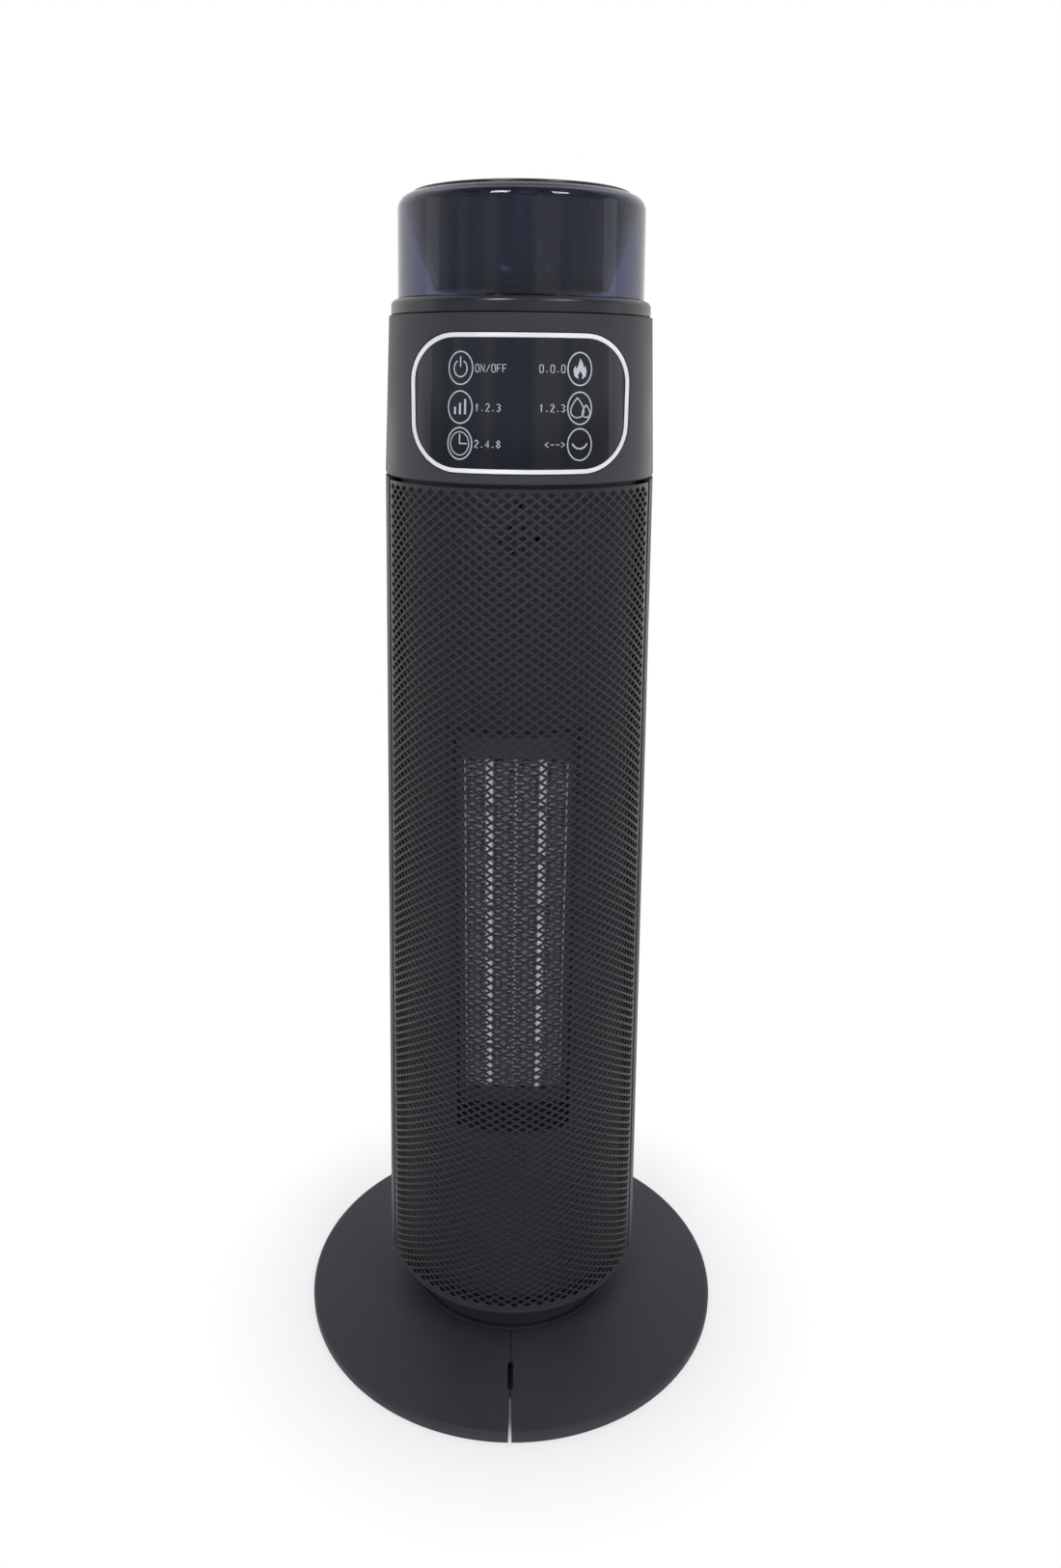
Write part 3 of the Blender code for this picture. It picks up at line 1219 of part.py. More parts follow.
def water_tank():
    """Dark bowl that narrows towards its floor, seen through the blue cover."""
    shoulder = TANK_TOP - TANK_SHOULDER_DROP
    floor = TANK_BOTTOM + TANK_WALL
    turned("water_tank", [
        (TANK_LIP_RADIUS, TANK_TOP),
        (TANK_SHOULDER_RADIUS, shoulder),
        (TANK_FLOOR_RADIUS, TANK_BOTTOM),
        (TANK_WELL_RADIUS, TANK_BOTTOM),
        (TANK_WELL_RADIUS, floor),
        (TANK_FLOOR_RADIUS - TANK_WALL, floor),
        (TANK_SHOULDER_RADIUS - TANK_WALL, shoulder),
        (TANK_LIP_RADIUS - TANK_WALL, TANK_TOP),
    ], "tank_dark")


def mist_chimney():
    """Tube that leads the mist up from the tank's floor to the lid."""
    bottom = TANK_BOTTOM + TANK_WALL + CLEARANCE
    top = SHADE_TOP - CHIMNEY_TOP_GAP
    bore = CHIMNEY_RADIUS - CHIMNEY_WALL
    chimney = turned("mist_chimney", [
        (CHIMNEY_RADIUS, top),
        (CHIMNEY_RADIUS, bottom + CHIMNEY_FLANGE),
        (CHIMNEY_FLANGE_RADIUS, bottom + CHIMNEY_FLANGE),
        (CHIMNEY_FLANGE_RADIUS, bottom),
        (bore, bottom),
        (bore, top),
    ], "inner_plastic", steps=SMALL_STEPS)
    port_bottom = bottom + CHIMNEY_FLANGE
    cut(chimney, block(
        "chimney_ports", (-CHIMNEY_FLANGE_RADIUS, -CHIMNEY_PORT_WIDTH / 2, port_bottom),
        (CHIMNEY_FLANGE_RADIUS, CHIMNEY_PORT_WIDTH / 2, port_bottom + CHIMNEY_PORT_HEIGHT)))


def blue_cover():
    """Clear blue cover round the tank, with a rounded top edge and an open mouth."""
    round_height = SHADE_TOP - SHADE_ROUND
    centre = (SHADE_TOP_RADIUS - SHADE_ROUND, round_height)
    outer = arc(centre, SHADE_ROUND, pi / 2, 0.0, SHADE_ROUND_STEPS)
    inner = arc(centre, SHADE_ROUND - SHADE_WALL, 0.0, pi / 2, SHADE_ROUND_STEPS)
    profile = [(SHADE_MOUTH_RADIUS, SHADE_TOP)] + outer
    profile += [(SHADE_RADIUS, SHADE_BOTTOM), (SHADE_RADIUS - SHADE_WALL, SHADE_BOTTOM)]
    profile += inner + [(SHADE_MOUTH_RADIUS, SHADE_TOP - SHADE_WALL)]
    turned("blue_cover", profile, "blue_clear")


def tank_lid(axis):
    """Low domed lid with a mist outlet and a skirt that fits in the cover's mouth."""
    top = LID_EDGE + LID_DOME
    skirt = SHADE_MOUTH_RADIUS - CLEARANCE
    dome = []
    for step in range(LID_DOME_STEPS + 1):
        share = step / LID_DOME_STEPS
        radius = LID_OUTLET_RADIUS + (LID_RADIUS - LID_OUTLET_RADIUS) * share
        dome.append((radius, top - LID_DOME * share * share))
    lid = turned("tank_lid", dome + [
        (LID_RADIUS, 0.0),
        (skirt, 0.0),
        (skirt, -LID_SKIRT),
        (skirt - LID_WALL, -LID_SKIRT),
        (skirt - LID_WALL, LID_EDGE - LID_WALL),
        (LID_OUTLET_RADIUS, top - LID_WALL),
    ], "gloss_black")
    move(lid, (0.0, 0.0, 0.0), axis)


def power_board():
    """Mains board on the floor's rail, with its transformer."""
    bottom = CAP_FLOOR + POWER_RAIL_HEIGHT + CLEARANCE
    block(
        "power_board", (-POWER_BOARD_WIDTH / 2, POWER_BOARD_PLACE, bottom),
        (POWER_BOARD_WIDTH / 2, POWER_BOARD_PLACE + BOARD_THICKNESS, bottom + POWER_BOARD_HEIGHT),
        "board_green")
    front = POWER_BOARD_PLACE - CLEARANCE
    low = bottom + TRANSFORMER_RISE
    block(
        "power_transformer", (-TRANSFORMER_WIDTH / 2, front - TRANSFORMER_DEPTH, low),
        (TRANSFORMER_WIDTH / 2, front, low + TRANSFORMER_HEIGHT), "steel", edge=TRANSFORMER_EDGE)


def tilt_switch():
    """Tip-over switch on the tower's floor."""
    half = TILT_SWITCH_WIDTH / 2
    bottom = CAP_FLOOR + CLEARANCE
    block(
        "tilt_switch", (TILT_SWITCH_PLACE - half, -half, bottom),
        (TILT_SWITCH_PLACE + half, half, bottom + TILT_SWITCH_HEIGHT), "inner_plastic",
        edge=TILT_SWITCH_EDGE)


def buzzer():
    """Round buzzer behind the small holes of the inner cover."""
    inside = tower_radius(SOUND_HOLE_CENTRE + BUZZER_RADIUS) - COVER_INSET - COVER_WALL
    face = -sqrt(inside ** 2 - BUZZER_RADIUS ** 2) * cos(pi / ROUND_STEPS) + CLEARANCE
    rod(
        "buzzer", BUZZER_RADIUS, (0.0, face, SOUND_HOLE_CENTRE),
        (0.0, face + BUZZER_HEIGHT, SOUND_HOLE_CENTRE), "gloss_black")


def hang_tower(axis):
    """Parent what turns with the tower, and its cutters, to the swing axis."""
    for obj in bpy.data.objects:
        if obj.parent is None and obj != axis and not obj.name.startswith(STANDING_NAMES):
            obj.parent = axis


def start_scene():
    """Remove what the scene holds and make the two collections."""
    for obj in list(bpy.data.objects):
        bpy.data.objects.remove(obj)
    for name in ("fan_heater", "cutters"):
        group = bpy.data.collections.new(name)
        bpy.context.scene.collection.children.link(group)


def main():
    """Build every piece, from the floor up."""
    start_scene()
    foot_halves()
    foot_pads()
    neck()
    fixed_gear()
    tower_axis = axis_empty("swing_axis", (0.0, 0.0, 0.0))
    swing_pinion(tower_axis)
    bottom_cap()
    pivot_clip()
    swing_motor()
    rear_housing()
    cord_gland()
    front_grille()
    front_duct_cover()
    heater_frame()
    heating_element()
    thermal_cutout()
    fan_housing()
    bearing_bush()
    fan_axis = axis_empty("fan_axis", (0.0, FAN_OFFSET, FAN_BOTTOM))
    fan_rotor(fan_axis)
    motor_shaft(fan_axis)
    motor_bracket()
    fan_motor()
    control_housing()
    touch_panel()
    touch_board()
    trim_ring()
    tank_deck()
    light_ring()
    mist_maker()
    water_tank()
    mist_chimney()
    blue_cover()
    tank_lid(axis_empty("lid_axis", (0.0, 0.0, LID_BOTTOM)))
    power_board()
    tilt_switch()
    buzzer()
    hang_tower(tower_axis)


main()
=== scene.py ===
"""Looks of a tower fan heater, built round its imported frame. Metres, +Z up, the front faces -Y."""

import json
from math import asin, cos, hypot, pi, radians, sin, sqrt, tau

import bmesh
import bpy
from mathutils import Matrix, Vector


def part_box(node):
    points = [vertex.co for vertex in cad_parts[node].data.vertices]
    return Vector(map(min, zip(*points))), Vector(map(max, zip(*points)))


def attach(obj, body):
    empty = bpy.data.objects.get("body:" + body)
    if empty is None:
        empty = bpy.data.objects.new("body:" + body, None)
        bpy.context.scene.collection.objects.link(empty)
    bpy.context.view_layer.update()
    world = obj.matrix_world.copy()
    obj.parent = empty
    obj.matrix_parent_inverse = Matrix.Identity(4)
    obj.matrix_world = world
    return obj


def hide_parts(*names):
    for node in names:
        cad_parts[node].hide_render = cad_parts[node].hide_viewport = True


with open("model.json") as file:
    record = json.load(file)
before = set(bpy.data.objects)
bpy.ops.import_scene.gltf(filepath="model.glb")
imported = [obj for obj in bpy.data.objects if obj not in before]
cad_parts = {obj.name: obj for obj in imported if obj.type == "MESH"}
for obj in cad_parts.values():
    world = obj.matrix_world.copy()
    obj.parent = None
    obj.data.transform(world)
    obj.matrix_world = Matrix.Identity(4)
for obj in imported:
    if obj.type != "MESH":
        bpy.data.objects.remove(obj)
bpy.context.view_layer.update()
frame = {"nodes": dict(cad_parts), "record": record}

# Camera, fitted to the photograph's outline, with its size in pixels
PHOTO_HEIGHT = 1625.0
FOCAL_PIXELS = 1196.0
PRINCIPAL_RIGHT = -15.0
PRINCIPAL_DOWN = 19.5
SENSOR = 36.0
CLIP_START = 0.01
CAMERA_DISTANCE = 0.5783
CAMERA_HEIGHT = 0.5377
CAMERA_PITCH = radians(20.68)
CAMERA_ROLL = radians(0.57)

# Floor and ambient light, with ramps as places and shares or colours
FLOOR_SIZE = 60.0
FLOOR_SHADE = 0.90
FLOOR_ROUGHNESS = 0.9
FADE_REACH = 0.5
FADE_STOPS = ((0.218, 0.10), (0.246, 0.64), (0.37, 1.0))
AMBIENT_FRONT = 0.35
AMBIENT_BACK = 0.92
AMBIENT_TURN = (-0.20, 0.45)
HORIZON_STOPS = ((0.01, 0.0), (0.06, 0.68), (0.20, 0.68), (0.30, 0.0))
STREAK_NOISE = (2.6, 1.5, (1.0, 1.0, 0.12))
STREAK_TINTS = ((0.40, (0.60, 0.68, 0.84)), (0.62, (1.16, 1.17, 1.20)))

# Lamps: name, place, aim, width, height, power and whether shiny pieces mirror it
MIDDLE = (0.0, 0.0, 0.3)
LAMPS = (
    ("lamp_high_left", (-0.42, -1.05, 1.45), MIDDLE, 0.35, 0.35, 6.0, True),
    ("lamp_high_right", (0.75, -0.95, 1.45), MIDDLE, 0.35, 0.35, 4.5, True),
    ("lamp_low", (0.05, -1.7, 0.17), (0.0, 0.0, 0.26), 0.7, 0.24, 9.8, False),
    ("lamp_side_left", (-1.8, -0.1, 0.6), MIDDLE, 0.5, 1.2, 0.6, True),
    ("lamp_side_right", (1.8, -0.1, 0.6), MIDDLE, 0.5, 1.2, 1.1, True),
    ("lamp_back_left", (-1.1, 1.3, 0.3), MIDDLE, 0.6, 0.5, 0.7, True),
    ("lamp_back_right", (1.1, 1.3, 0.3), MIDDLE, 0.6, 0.5, 1.0, True))

# Fineness of the meshes and their soft edges
STEPS = 128
SMALL_STEPS = 32
SOFT_STEPS = 4
SHARP_ANGLE = radians(35)
WELD = 0.0000001
GAP = 0.0003
SOFT = 0.0012
FINE_SOFT = 0.0008

# Foot and neck
FOOT_EDGE = 0.0024
FOOT_RIM = 0.0060
FOOT_WALL = 0.0026
FOOT_BORE = 0.0300
FOOT_SEAM = 0.0003
FOOT_SLOT_LENGTH = 0.0180
FOOT_SLOT_WIDTH = 0.0030
FOOT_SLOT_INSET = 0.0255
FOOT_GAP_NEAR = 0.0019
FOOT_GAP_FAR = 0.0005
FOOT_SHOULDER = 0.0640
JOINT_HALF_WIDTH = 0.0060
JOINT_END = 0.0400
JOINT_HEIGHT = 0.0060
JOINT_SOFT = 0.0010
RIB_WIDTH = 0.0018
RIB_COUNT = 5
RIB_START = 0.0660
RIB_GAP = 0.0010
RIB_LEVELS = (0.0020, 0.0036)
NECK_FLANGE_HEIGHT = 0.0025
NECK_WALL = 0.0025
NECK_BORE = 0.0100

# Tower
GRILLE_HALF_ANGLE = radians(72)
GRILLE_HALF_COLUMNS = 49
GRILLE_ROWS = 98
GRILLE_STRAND = 0.00120
GRILLE_BORDER = 0.0006
GRILLE_TOP_GAP = 0.0010
GRILLE_TOP_BORDER = 0.0004
GRILLE_DEPTH = 0.0010
GRILLE_CROWN = 0.00025
SIDE_SEAM = 0.0030
SHELL_WALL = 0.0024
BAND_HEIGHT = 0.0078
BAND_DRAFT = 0.0004
BAND_INSET = 0.0060
BAND_WALL = 0.0025
BAND_LIP_INSET = 0.0012
BAND_LIP = 0.0030
PIVOT_RADIUS = 0.0080
PIVOT_BORE = 0.0060
PIVOT_LENGTH = 0.0200
INLET_HALF_ANGLE = radians(46)
INLET_RIB_WIDTH = 0.0016
INLET_ROWS = 30
INLET_BAR_SHARE = 0.42
INLET_POSTS = 5
INLET_POST_WIDTH = 0.0040
INLET_POST_ROOM = 0.01
SCREW_RADIUS = 0.0034
SCREW_DEPTH = 0.0010
SCREW_WELL = 0.0020
SCREW_HEAD = (
    (0.0, 0.0002), (0.0026, 0.0003), (SCREW_RADIUS, 0.0001), (SCREW_RADIUS, -0.0004), (0.0, -0.0004))
SCREW_ANGLE = radians(56)
SCREW_HEIGHTS = (0.075, 0.265, 0.455)
CROSS_LENGTH = 0.0020
CROSS_WIDTH = 0.0004
CROSS_LEVELS = (-0.0002, 0.0010)
CORD_RADIUS = 0.0036
BUSH_RADIUS = 0.0068
BUSH_BORE = 0.0073
BUSH_NOSE = 0.0076
BUSH_FLANGE = 0.0020
BUSH_CHAMFER = 0.0008
BUSH_SOFT = 0.0004
COVER_HALF_ANGLE = radians(76)
COVER_WALL = 0.0018
TUNNEL_WIDTH = 0.0600
TUNNEL_LOW = 0.1570
TUNNEL_HIGH = 0.3750
BEAD_WIDTH = 0.0036
BEAD_RISE = 0.0014
SOUND_HOLE_RADIUS = 0.0015
SOUND_HOLE_PITCH = 0.0058
SOUND_HOLES = ((-0.5, 1), (0.5, 1), (-1.5, 0), (-0.5, 0), (0.5, 0), (1.5, 0), (-0.5, -1), (0.5, -1), (0, 3))

# Heating element
FIN_BANDS = 4
FIN_FOLD = 0.0011
FIN_SHEET = 0.00032
FIN_PLATE = 0.00035
EDGE_PLATE = 0.0009
STONES = 7
STONE_GAP = 0.0032
STONE_EDGE = 0.0004
STONE_BACK = 0.0012

# Control section
CONTROL_EDGE = 0.0020
CONTROL_WALL = 0.0028
CONTROL_SHELF = 0.0120
CONTROL_SOFT = 0.0006
PANEL_CORNER = 0.0200
PANEL_BORDER = 0.0018
PANEL_GROOVE = 0.0005
PANEL_DEPTH = 0.0010
PANEL_GLASS_SHARE = 0.9
PANEL_ROWS = 40
PANEL_COLUMNS = 64
BORDER_PROUD = 0.0003
KEY_ANGLE = radians(24.2)
KEY_WIDTH = 0.0119
KEY_HEIGHT = 0.0136
KEY_LEVELS = (0.5372, 0.5215, 0.5067)
INK_WIDTH = 0.00055
INK_HEIGHT = 0.00005
MITRE_LEAST = 0.5
LETTER_HEIGHT = 0.0030
LETTER_WIDTH = 0.0016
LETTER_SPACE = 0.0008
LETTER_INK = 0.00034
LABEL_SPACE = 0.0010
DROP_FULLNESS = 0.78

# Mist and light head
RING_EDGE = 0.0030
SHADE_RISE = 0.0015
SHADE_WALL = 0.0029
SHADE_ROOF = 0.0022
SHADE_ROUND = 0.0060
SHADE_MOUTH = 0.0400
TANK_WALL = 0.0018
TANK_TAPER = 0.0125
TANK_RISE = 0.0014
TANK_SHOULDER_DROP = 0.0025
TANK_LIP_WIDTH = 0.0055
TANK_WELL = 0.0100
LID_RADIUS = 0.0490
LID_EDGE = ((0.0006, 0.0), (0.0002, 0.0002), (0.0, 0.0005))
LID_OUTLET = 0.0080
LID_OUTLET_LIP = 0.0004
LID_DOME = 0.0002
LID_WALL = 0.0018


def low(node):
    """Lowest corner of a node."""
    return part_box(node)[0]


def high(node):
    """Highest corner of a node."""
    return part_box(node)[1]


def levels(node):
    """Heights of a node's bottom and top."""
    return low(node).z, high(node).z


def radius_at(node, height):
    """Largest radius of a node's vertices near a height."""
    spots = [v.co for v in frame["nodes"][node].data.vertices if abs(v.co.z - height) < GAP]
    return max(hypot(spot.x, spot.y) for spot in spots)


def cone(node):
    """Bottom and top heights of a conical node, its radii there, and a function for its radius between."""
    bottom, top = levels(node)
    first, last = radius_at(node, bottom), radius_at(node, top)
    return bottom, top, first, last, lambda z: first + (last - first) * ((z - bottom) / (top - bottom))


TOWER_LOW, TOWER_HIGH, TOWER_LOW_RADIUS, TOWER_HIGH_RADIUS, tower_radius = cone("rear_housing")
CONTROL_LOW, CONTROL_HIGH, CONTROL_LOW_RADIUS, CONTROL_HIGH_RADIUS, control_radius = cone("control_housing")
SHADE_TOP = high("blue_cover").z + SHADE_RISE


# Materials

def feed(tree, node, inputs):
    """Set a node's inputs, by name or number, to values or to outputs of other nodes."""
    for key, value in inputs.items():
        if isinstance(value, bpy.types.NodeSocket):
            tree.links.new(value, node.inputs[key])
        else:
            node.inputs[key].default_value = value


def new_node(tree, kind, inputs, operation=None):
    """Outputs of a new node whose inputs are fed."""
    made = tree.nodes.new(kind)
    if operation:
        made.operation = operation
    feed(tree, made, inputs)
    return made.outputs


def combined(tree, operation, first, second):
    """A number worked out from two others."""
    return new_node(tree, "ShaderNodeMath", {0: first, 1: second}, operation)["Value"]


def noise(tree, scale, detail=2.0, stretch=(1.0, 1.0, 1.0), space="Object"):
    """Noise, in the object's own coordinates unless others are named."""
    place = new_node(tree, "ShaderNodeTexCoord", {})[space]
    mapped = new_node(tree, "ShaderNodeMapping", {"Scale": stretch, "Vector": place})["Vector"]
    return new_node(tree, "ShaderNodeTexNoise", {"Scale": scale, "Detail": detail, "Vector": mapped})["Fac"]


def ramp(tree, source, stops):
    """Colour that follows a number, from stops of a place and a colour or a share of white."""
    made = tree.nodes.new("ShaderNodeValToRGB")
    for place, _ in stops[1:-1]:
        made.color_ramp.elements.new(place)
    for element, (place, colour) in zip(made.color_ramp.elements, stops):
        element.position = place
        element.color = (*(colour if isinstance(colour, tuple) else (colour,) * 3), 1.0)
    feed(tree, made, {"Fac": source})
    return made.outputs["Color"]


def surface(name, colour, roughness, tone, gloss, bump, metallic=0.0, specular=0.5):
    """A Principled material that varies by noise. Tone, gloss and bump each hold a noise's settings and
    two numbers: shares of the colour, the roughness's ends, and the bump's strength and distance."""
    made = bpy.data.materials.new(name)
    made.use_nodes = True
    tree = made.node_tree
    shader = tree.nodes["Principled BSDF"]
    feed(tree, shader, {"Base Color": (*colour, 1.0), "Roughness": roughness, "Metallic": metallic,
                        "Specular IOR Level": specular})
    kinds = dict.fromkeys(part[0] for part in (tone, gloss, bump) if part)
    source = {kind: noise(tree, *kind) for kind in kinds}
    if tone:
        stops = [(place, tuple(value * share for value in colour))
                 for place, share in zip((0.3, 0.7), tone[1:])]
        feed(tree, shader, {"Base Color": ramp(tree, source[tone[0]], stops)})
    ranged = new_node(tree, "ShaderNodeMapRange", {
        "From Min": 0.3, "From Max": 0.7, "To Min": gloss[1], "To Max": gloss[2],
        "Value": source[gloss[0]]})
    raised = new_node(tree, "ShaderNodeBump", {
        "Strength": bump[1], "Distance": bump[2], "Height": source[bump[0]]})
    feed(tree, shader, {"Roughness": ranged["Result"], "Normal": raised["Normal"]})
    return made


def plastic(name, colour, roughness, specular=0.5, grain=1600.0, strength=0.25):
    """Moulded plastic with a spark-eroded grain, faint mottling and uneven gloss."""
    broad = (22.0, 3.0)
    return surface(
        name, colour, roughness, tone=(broad, 0.90, 1.10), gloss=(broad, roughness - 0.05, roughness + 0.05),
        bump=((grain, 2.0), strength, 0.00006), specular=specular)


def polished(name, colour, roughness):
    """Polished plastic with faint ripples and fine wipe marks in its gloss."""
    return surface(
        name, colour, roughness, tone=((30.0,), 0.9, 1.1), bump=((35.0, 1.0), 0.06, 0.0002),
        gloss=((90.0, 4.0, (1.0, 1.0, 0.2)), roughness * 0.7, roughness * 1.4))


def metal(name, colour, roughness, metallic=1.0):
    """Metal with drawn lines."""
    lines = (260.0, 3.0, (1.0, 1.0, 12.0))
    return surface(
        name, colour, roughness, tone=(lines, 0.88, 1.06), gloss=(lines, roughness - 0.08, roughness + 0.10),
        bump=(lines, 0.12, 0.00005), metallic=metallic)


def clear(name, colour, roughness, depth_colour, density):
    """Clear plastic that darkens along its edges, with faint moulding ripples."""
    made = surface(name, colour, roughness, tone=None, gloss=((120.0, 3.0), 0.02, 0.05),
                   bump=((40.0, 1.0), 0.04, 0.0002))
    tree = made.node_tree
    feed(tree, tree.nodes["Principled BSDF"], {"Transmission Weight": 1.0, "IOR": 1.49})
    depth = new_node(tree, "ShaderNodeVolumeAbsorption", {"Color": (*depth_colour, 1.0), "Density": density})
    feed(tree, tree.nodes["Material Output"], {"Volume": depth["Volume"]})
    return made


# Each look's maker, colour, roughness and whatever else its maker takes
LOOKS = {name: make("look_" + name, *settings) for name, make, *settings in (
    ("charcoal", plastic, (0.033, 0.034, 0.039), 0.52, 0.25),
    ("housing", plastic, (0.027, 0.027, 0.032), 0.46, 0.35),
    ("mesh", plastic, (0.013, 0.013, 0.0165), 0.42, 0.32, 900.0, 0.15),
    # cover: the inner plastic lightened with painted light, to offset the shade behind the mesh
    ("cover", plastic, (0.027, 0.028, 0.033), 0.60),
    ("band", plastic, (0.026, 0.026, 0.031), 0.60, 0.2),
    # neck: the charcoal darkened, painted shade for the neck in the tower's shadow
    ("neck", plastic, (0.018, 0.018, 0.021), 0.65, 0.15),
    ("ring", plastic, (0.013, 0.013, 0.016), 0.27, 0.5, 1200.0, 0.10),
    ("fins", metal, (0.530, 0.530, 0.560), 0.42, 0.3),
    ("fin_edges", metal, (0.880, 0.880, 0.900), 0.45, 0.4),
    ("frame", plastic, (0.070, 0.070, 0.078), 0.50),
    ("gloss_black", polished, (0.006, 0.007, 0.010), 0.07),
    ("lid", polished, (0.006, 0.007, 0.008), 0.26),
    ("screws", metal, (0.060, 0.060, 0.064), 0.40),
    ("trim_white", polished, (0.730, 0.730, 0.745), 0.28),
    ("ink", plastic, (0.420, 0.425, 0.460), 0.45, 0.5, 2600.0, 0.10),
    ("blue_clear", clear, (0.900, 0.920, 0.980), 0.03, (0.0, 0.02, 0.245), 405.0),
    ("tank_dark", polished, (0.050, 0.051, 0.066), 0.22),
    ("inner_plastic", plastic, (0.015, 0.015, 0.017), 0.55),
    ("aluminium", metal, (0.560, 0.560, 0.570), 0.38),
    ("ceramic", plastic, (0.950, 0.940, 0.910), 0.55, 0.5, 700.0),
    ("steel", metal, (0.450, 0.450, 0.460), 0.35),
    ("brass", metal, (0.600, 0.430, 0.160), 0.35),
    ("rubber", plastic, (0.018, 0.018, 0.018), 0.80, 0.5, 900.0, 0.35),
    ("board_green", plastic, (0.030, 0.150, 0.070), 0.45, 0.5, 400.0),
    ("gear_white", plastic, (0.720, 0.710, 0.680), 0.45))}


# Mesh making

def new_object(name, data):
    """A new object in the scene."""
    obj = bpy.data.objects.new(name, data)
    bpy.context.scene.collection.objects.link(obj)
    return obj


def solid(name, work):
    """An object from a mesh in the making, with its faces pointing out."""
    bmesh.ops.recalc_face_normals(work, faces=work.faces)
    mesh = bpy.data.meshes.new(name)
    work.to_mesh(mesh)
    work.free()
    return new_object(name, mesh)


def dress(obj, slot, node=None, look=None, body="tower"):
    """Finish a piece: its material, smooth shading, the body it rides on and the node it stands for."""
    obj.data.materials.clear()
    obj.data.materials.append(LOOKS[look or slot])
    obj.data.shade_smooth()
    obj.data.set_sharp_from_angle(angle=SHARP_ANGLE)
    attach(obj, body)
    if node:
        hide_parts(node)
    return obj


def settle(obj):
    """Make what a piece's modifiers give its own mesh."""
    bpy.context.view_layer.update()
    graph = bpy.context.evaluated_depsgraph_get()
    obj.data = bpy.data.meshes.new_from_object(obj.evaluated_get(graph))
    obj.modifiers.clear()


def carve(obj, *tools, operation="DIFFERENCE"):
    """Change a piece by other shapes, which are used up."""
    for tool in tools:
        step = obj.modifiers.new("carve", "BOOLEAN")
        step.operation = operation
        step.object = tool
        step.solver = "EXACT"
    settle(obj)
    for tool in tools:
        bpy.data.objects.remove(tool)
    return obj


def thicken(obj, wall, offset):
    """Give an open surface a wall."""
    shell = obj.modifiers.new("wall", "SOLIDIFY")
    shell.thickness = wall
    shell.offset = offset
    shell.use_even_offset = True
    settle(obj)


def softened(points, reach, closed=True):
    """An outline with each corner rounded over a reach, or over half its shorter side."""
    made = []
    count = len(points)
    for index, point in enumerate(points):
        corner = Vector(point)
        before = Vector(points[index - 1]) - corner
        after = Vector(points[(index + 1) % count]) - corner
        if not closed and index in (0, count - 1):
            made.append(tuple(corner))
            continue
        start = corner + before.normalized() * min(reach, before.length / 2)
        end = corner + after.normalized() * min(reach, after.length / 2)
        for step in range(SOFT_STEPS + 1):
            share = step / SOFT_STEPS
            made.append(tuple(start.lerp(corner, share).lerp(corner.lerp(end, share), share)))
    return made


def oval(centre, width, height, first=0.0, last=tau, steps=48):
    """Points of an ellipse or of a part of it, angles from the right."""
    count = steps if last - first > tau - WELD else steps + 1
    angles = [first + (last - first) * step / steps for step in range(count)]
    return [(centre[0] + width / 2 * cos(angle), centre[1] + height / 2 * sin(angle)) for angle in angles]


def wall_into(work, first, second):
    """Add and return the faces between two rings of vertices."""
    return [work.faces.new((first[index - 1], first[index], second[index], second[index - 1]))
            for index in (*range(1, len(first)), 0)]


def sweep_into(work, rings, closed=False):
    """Add and return the sides between rings of vertices, which close on themselves or get two ends."""
    after = rings[1:] + rings[:1] if closed else rings[1:]
    sides = [face for first, second in zip(rings, after) for face in wall_into(work, first, second)]
    if not closed:
        work.faces.new(rings[0])
        work.faces.new(rings[-1])
    return sides


def prism_into(work, outlines):
    """Add a solid through outlines of equally many points, and return its sides."""
    return sweep_into(work, [[work.verts.new(point) for point in outline] for outline in outlines])


def turned(name, profile, steps=STEPS, start=0.0, sweep=tau):
    """An object from a closed profile of (radius, height), turned round the Z axis."""
    work = bmesh.new()
    full = sweep > tau - WELD
    rings = []
    for step in range(steps if full else steps + 1):
        angle = start + sweep * step / steps
        rings.append([work.verts.new((r * cos(angle), r * sin(angle), z)) for r, z in profile])
    sweep_into(work, rings, full)
    bmesh.ops.remove_doubles(work, verts=work.verts, dist=WELD)
    return solid(name, work)


def slab(name, outline, bottom, top):
    """An object from a flat outline in X and Y, raised between two heights."""
    work = bmesh.new()
    prism_into(work, ([(x, y, height) for x, y in outline] for height in (bottom, top)))
    return solid(name, work)


def box_into(work, lowest, highest, turn=None):
    """Add a box between two corners, turned by a matrix where one is given."""
    size = Vector(highest) - Vector(lowest)
    middle = (Vector(highest) + Vector(lowest)) / 2
    place = Matrix.Translation(middle) @ Matrix.Diagonal((*size, 1.0))
    bmesh.ops.create_cube(work, size=1.0, matrix=turn @ place if turn else place)


def pointed(direction):
    """Turn that points +Z along a direction."""
    return Vector((0.0, 0.0, 1.0)).rotation_difference(direction).to_matrix().to_4x4()


def rod_into(work, radius, start, end, steps):
    """Add a cylinder between two points."""
    span = Vector(end) - Vector(start)
    bmesh.ops.create_cone(
        work, cap_ends=True, segments=steps, radius1=radius, radius2=radius, depth=span.length,
        matrix=Matrix.Translation((Vector(start) + Vector(end)) / 2) @ pointed(span))


# Foot and neck

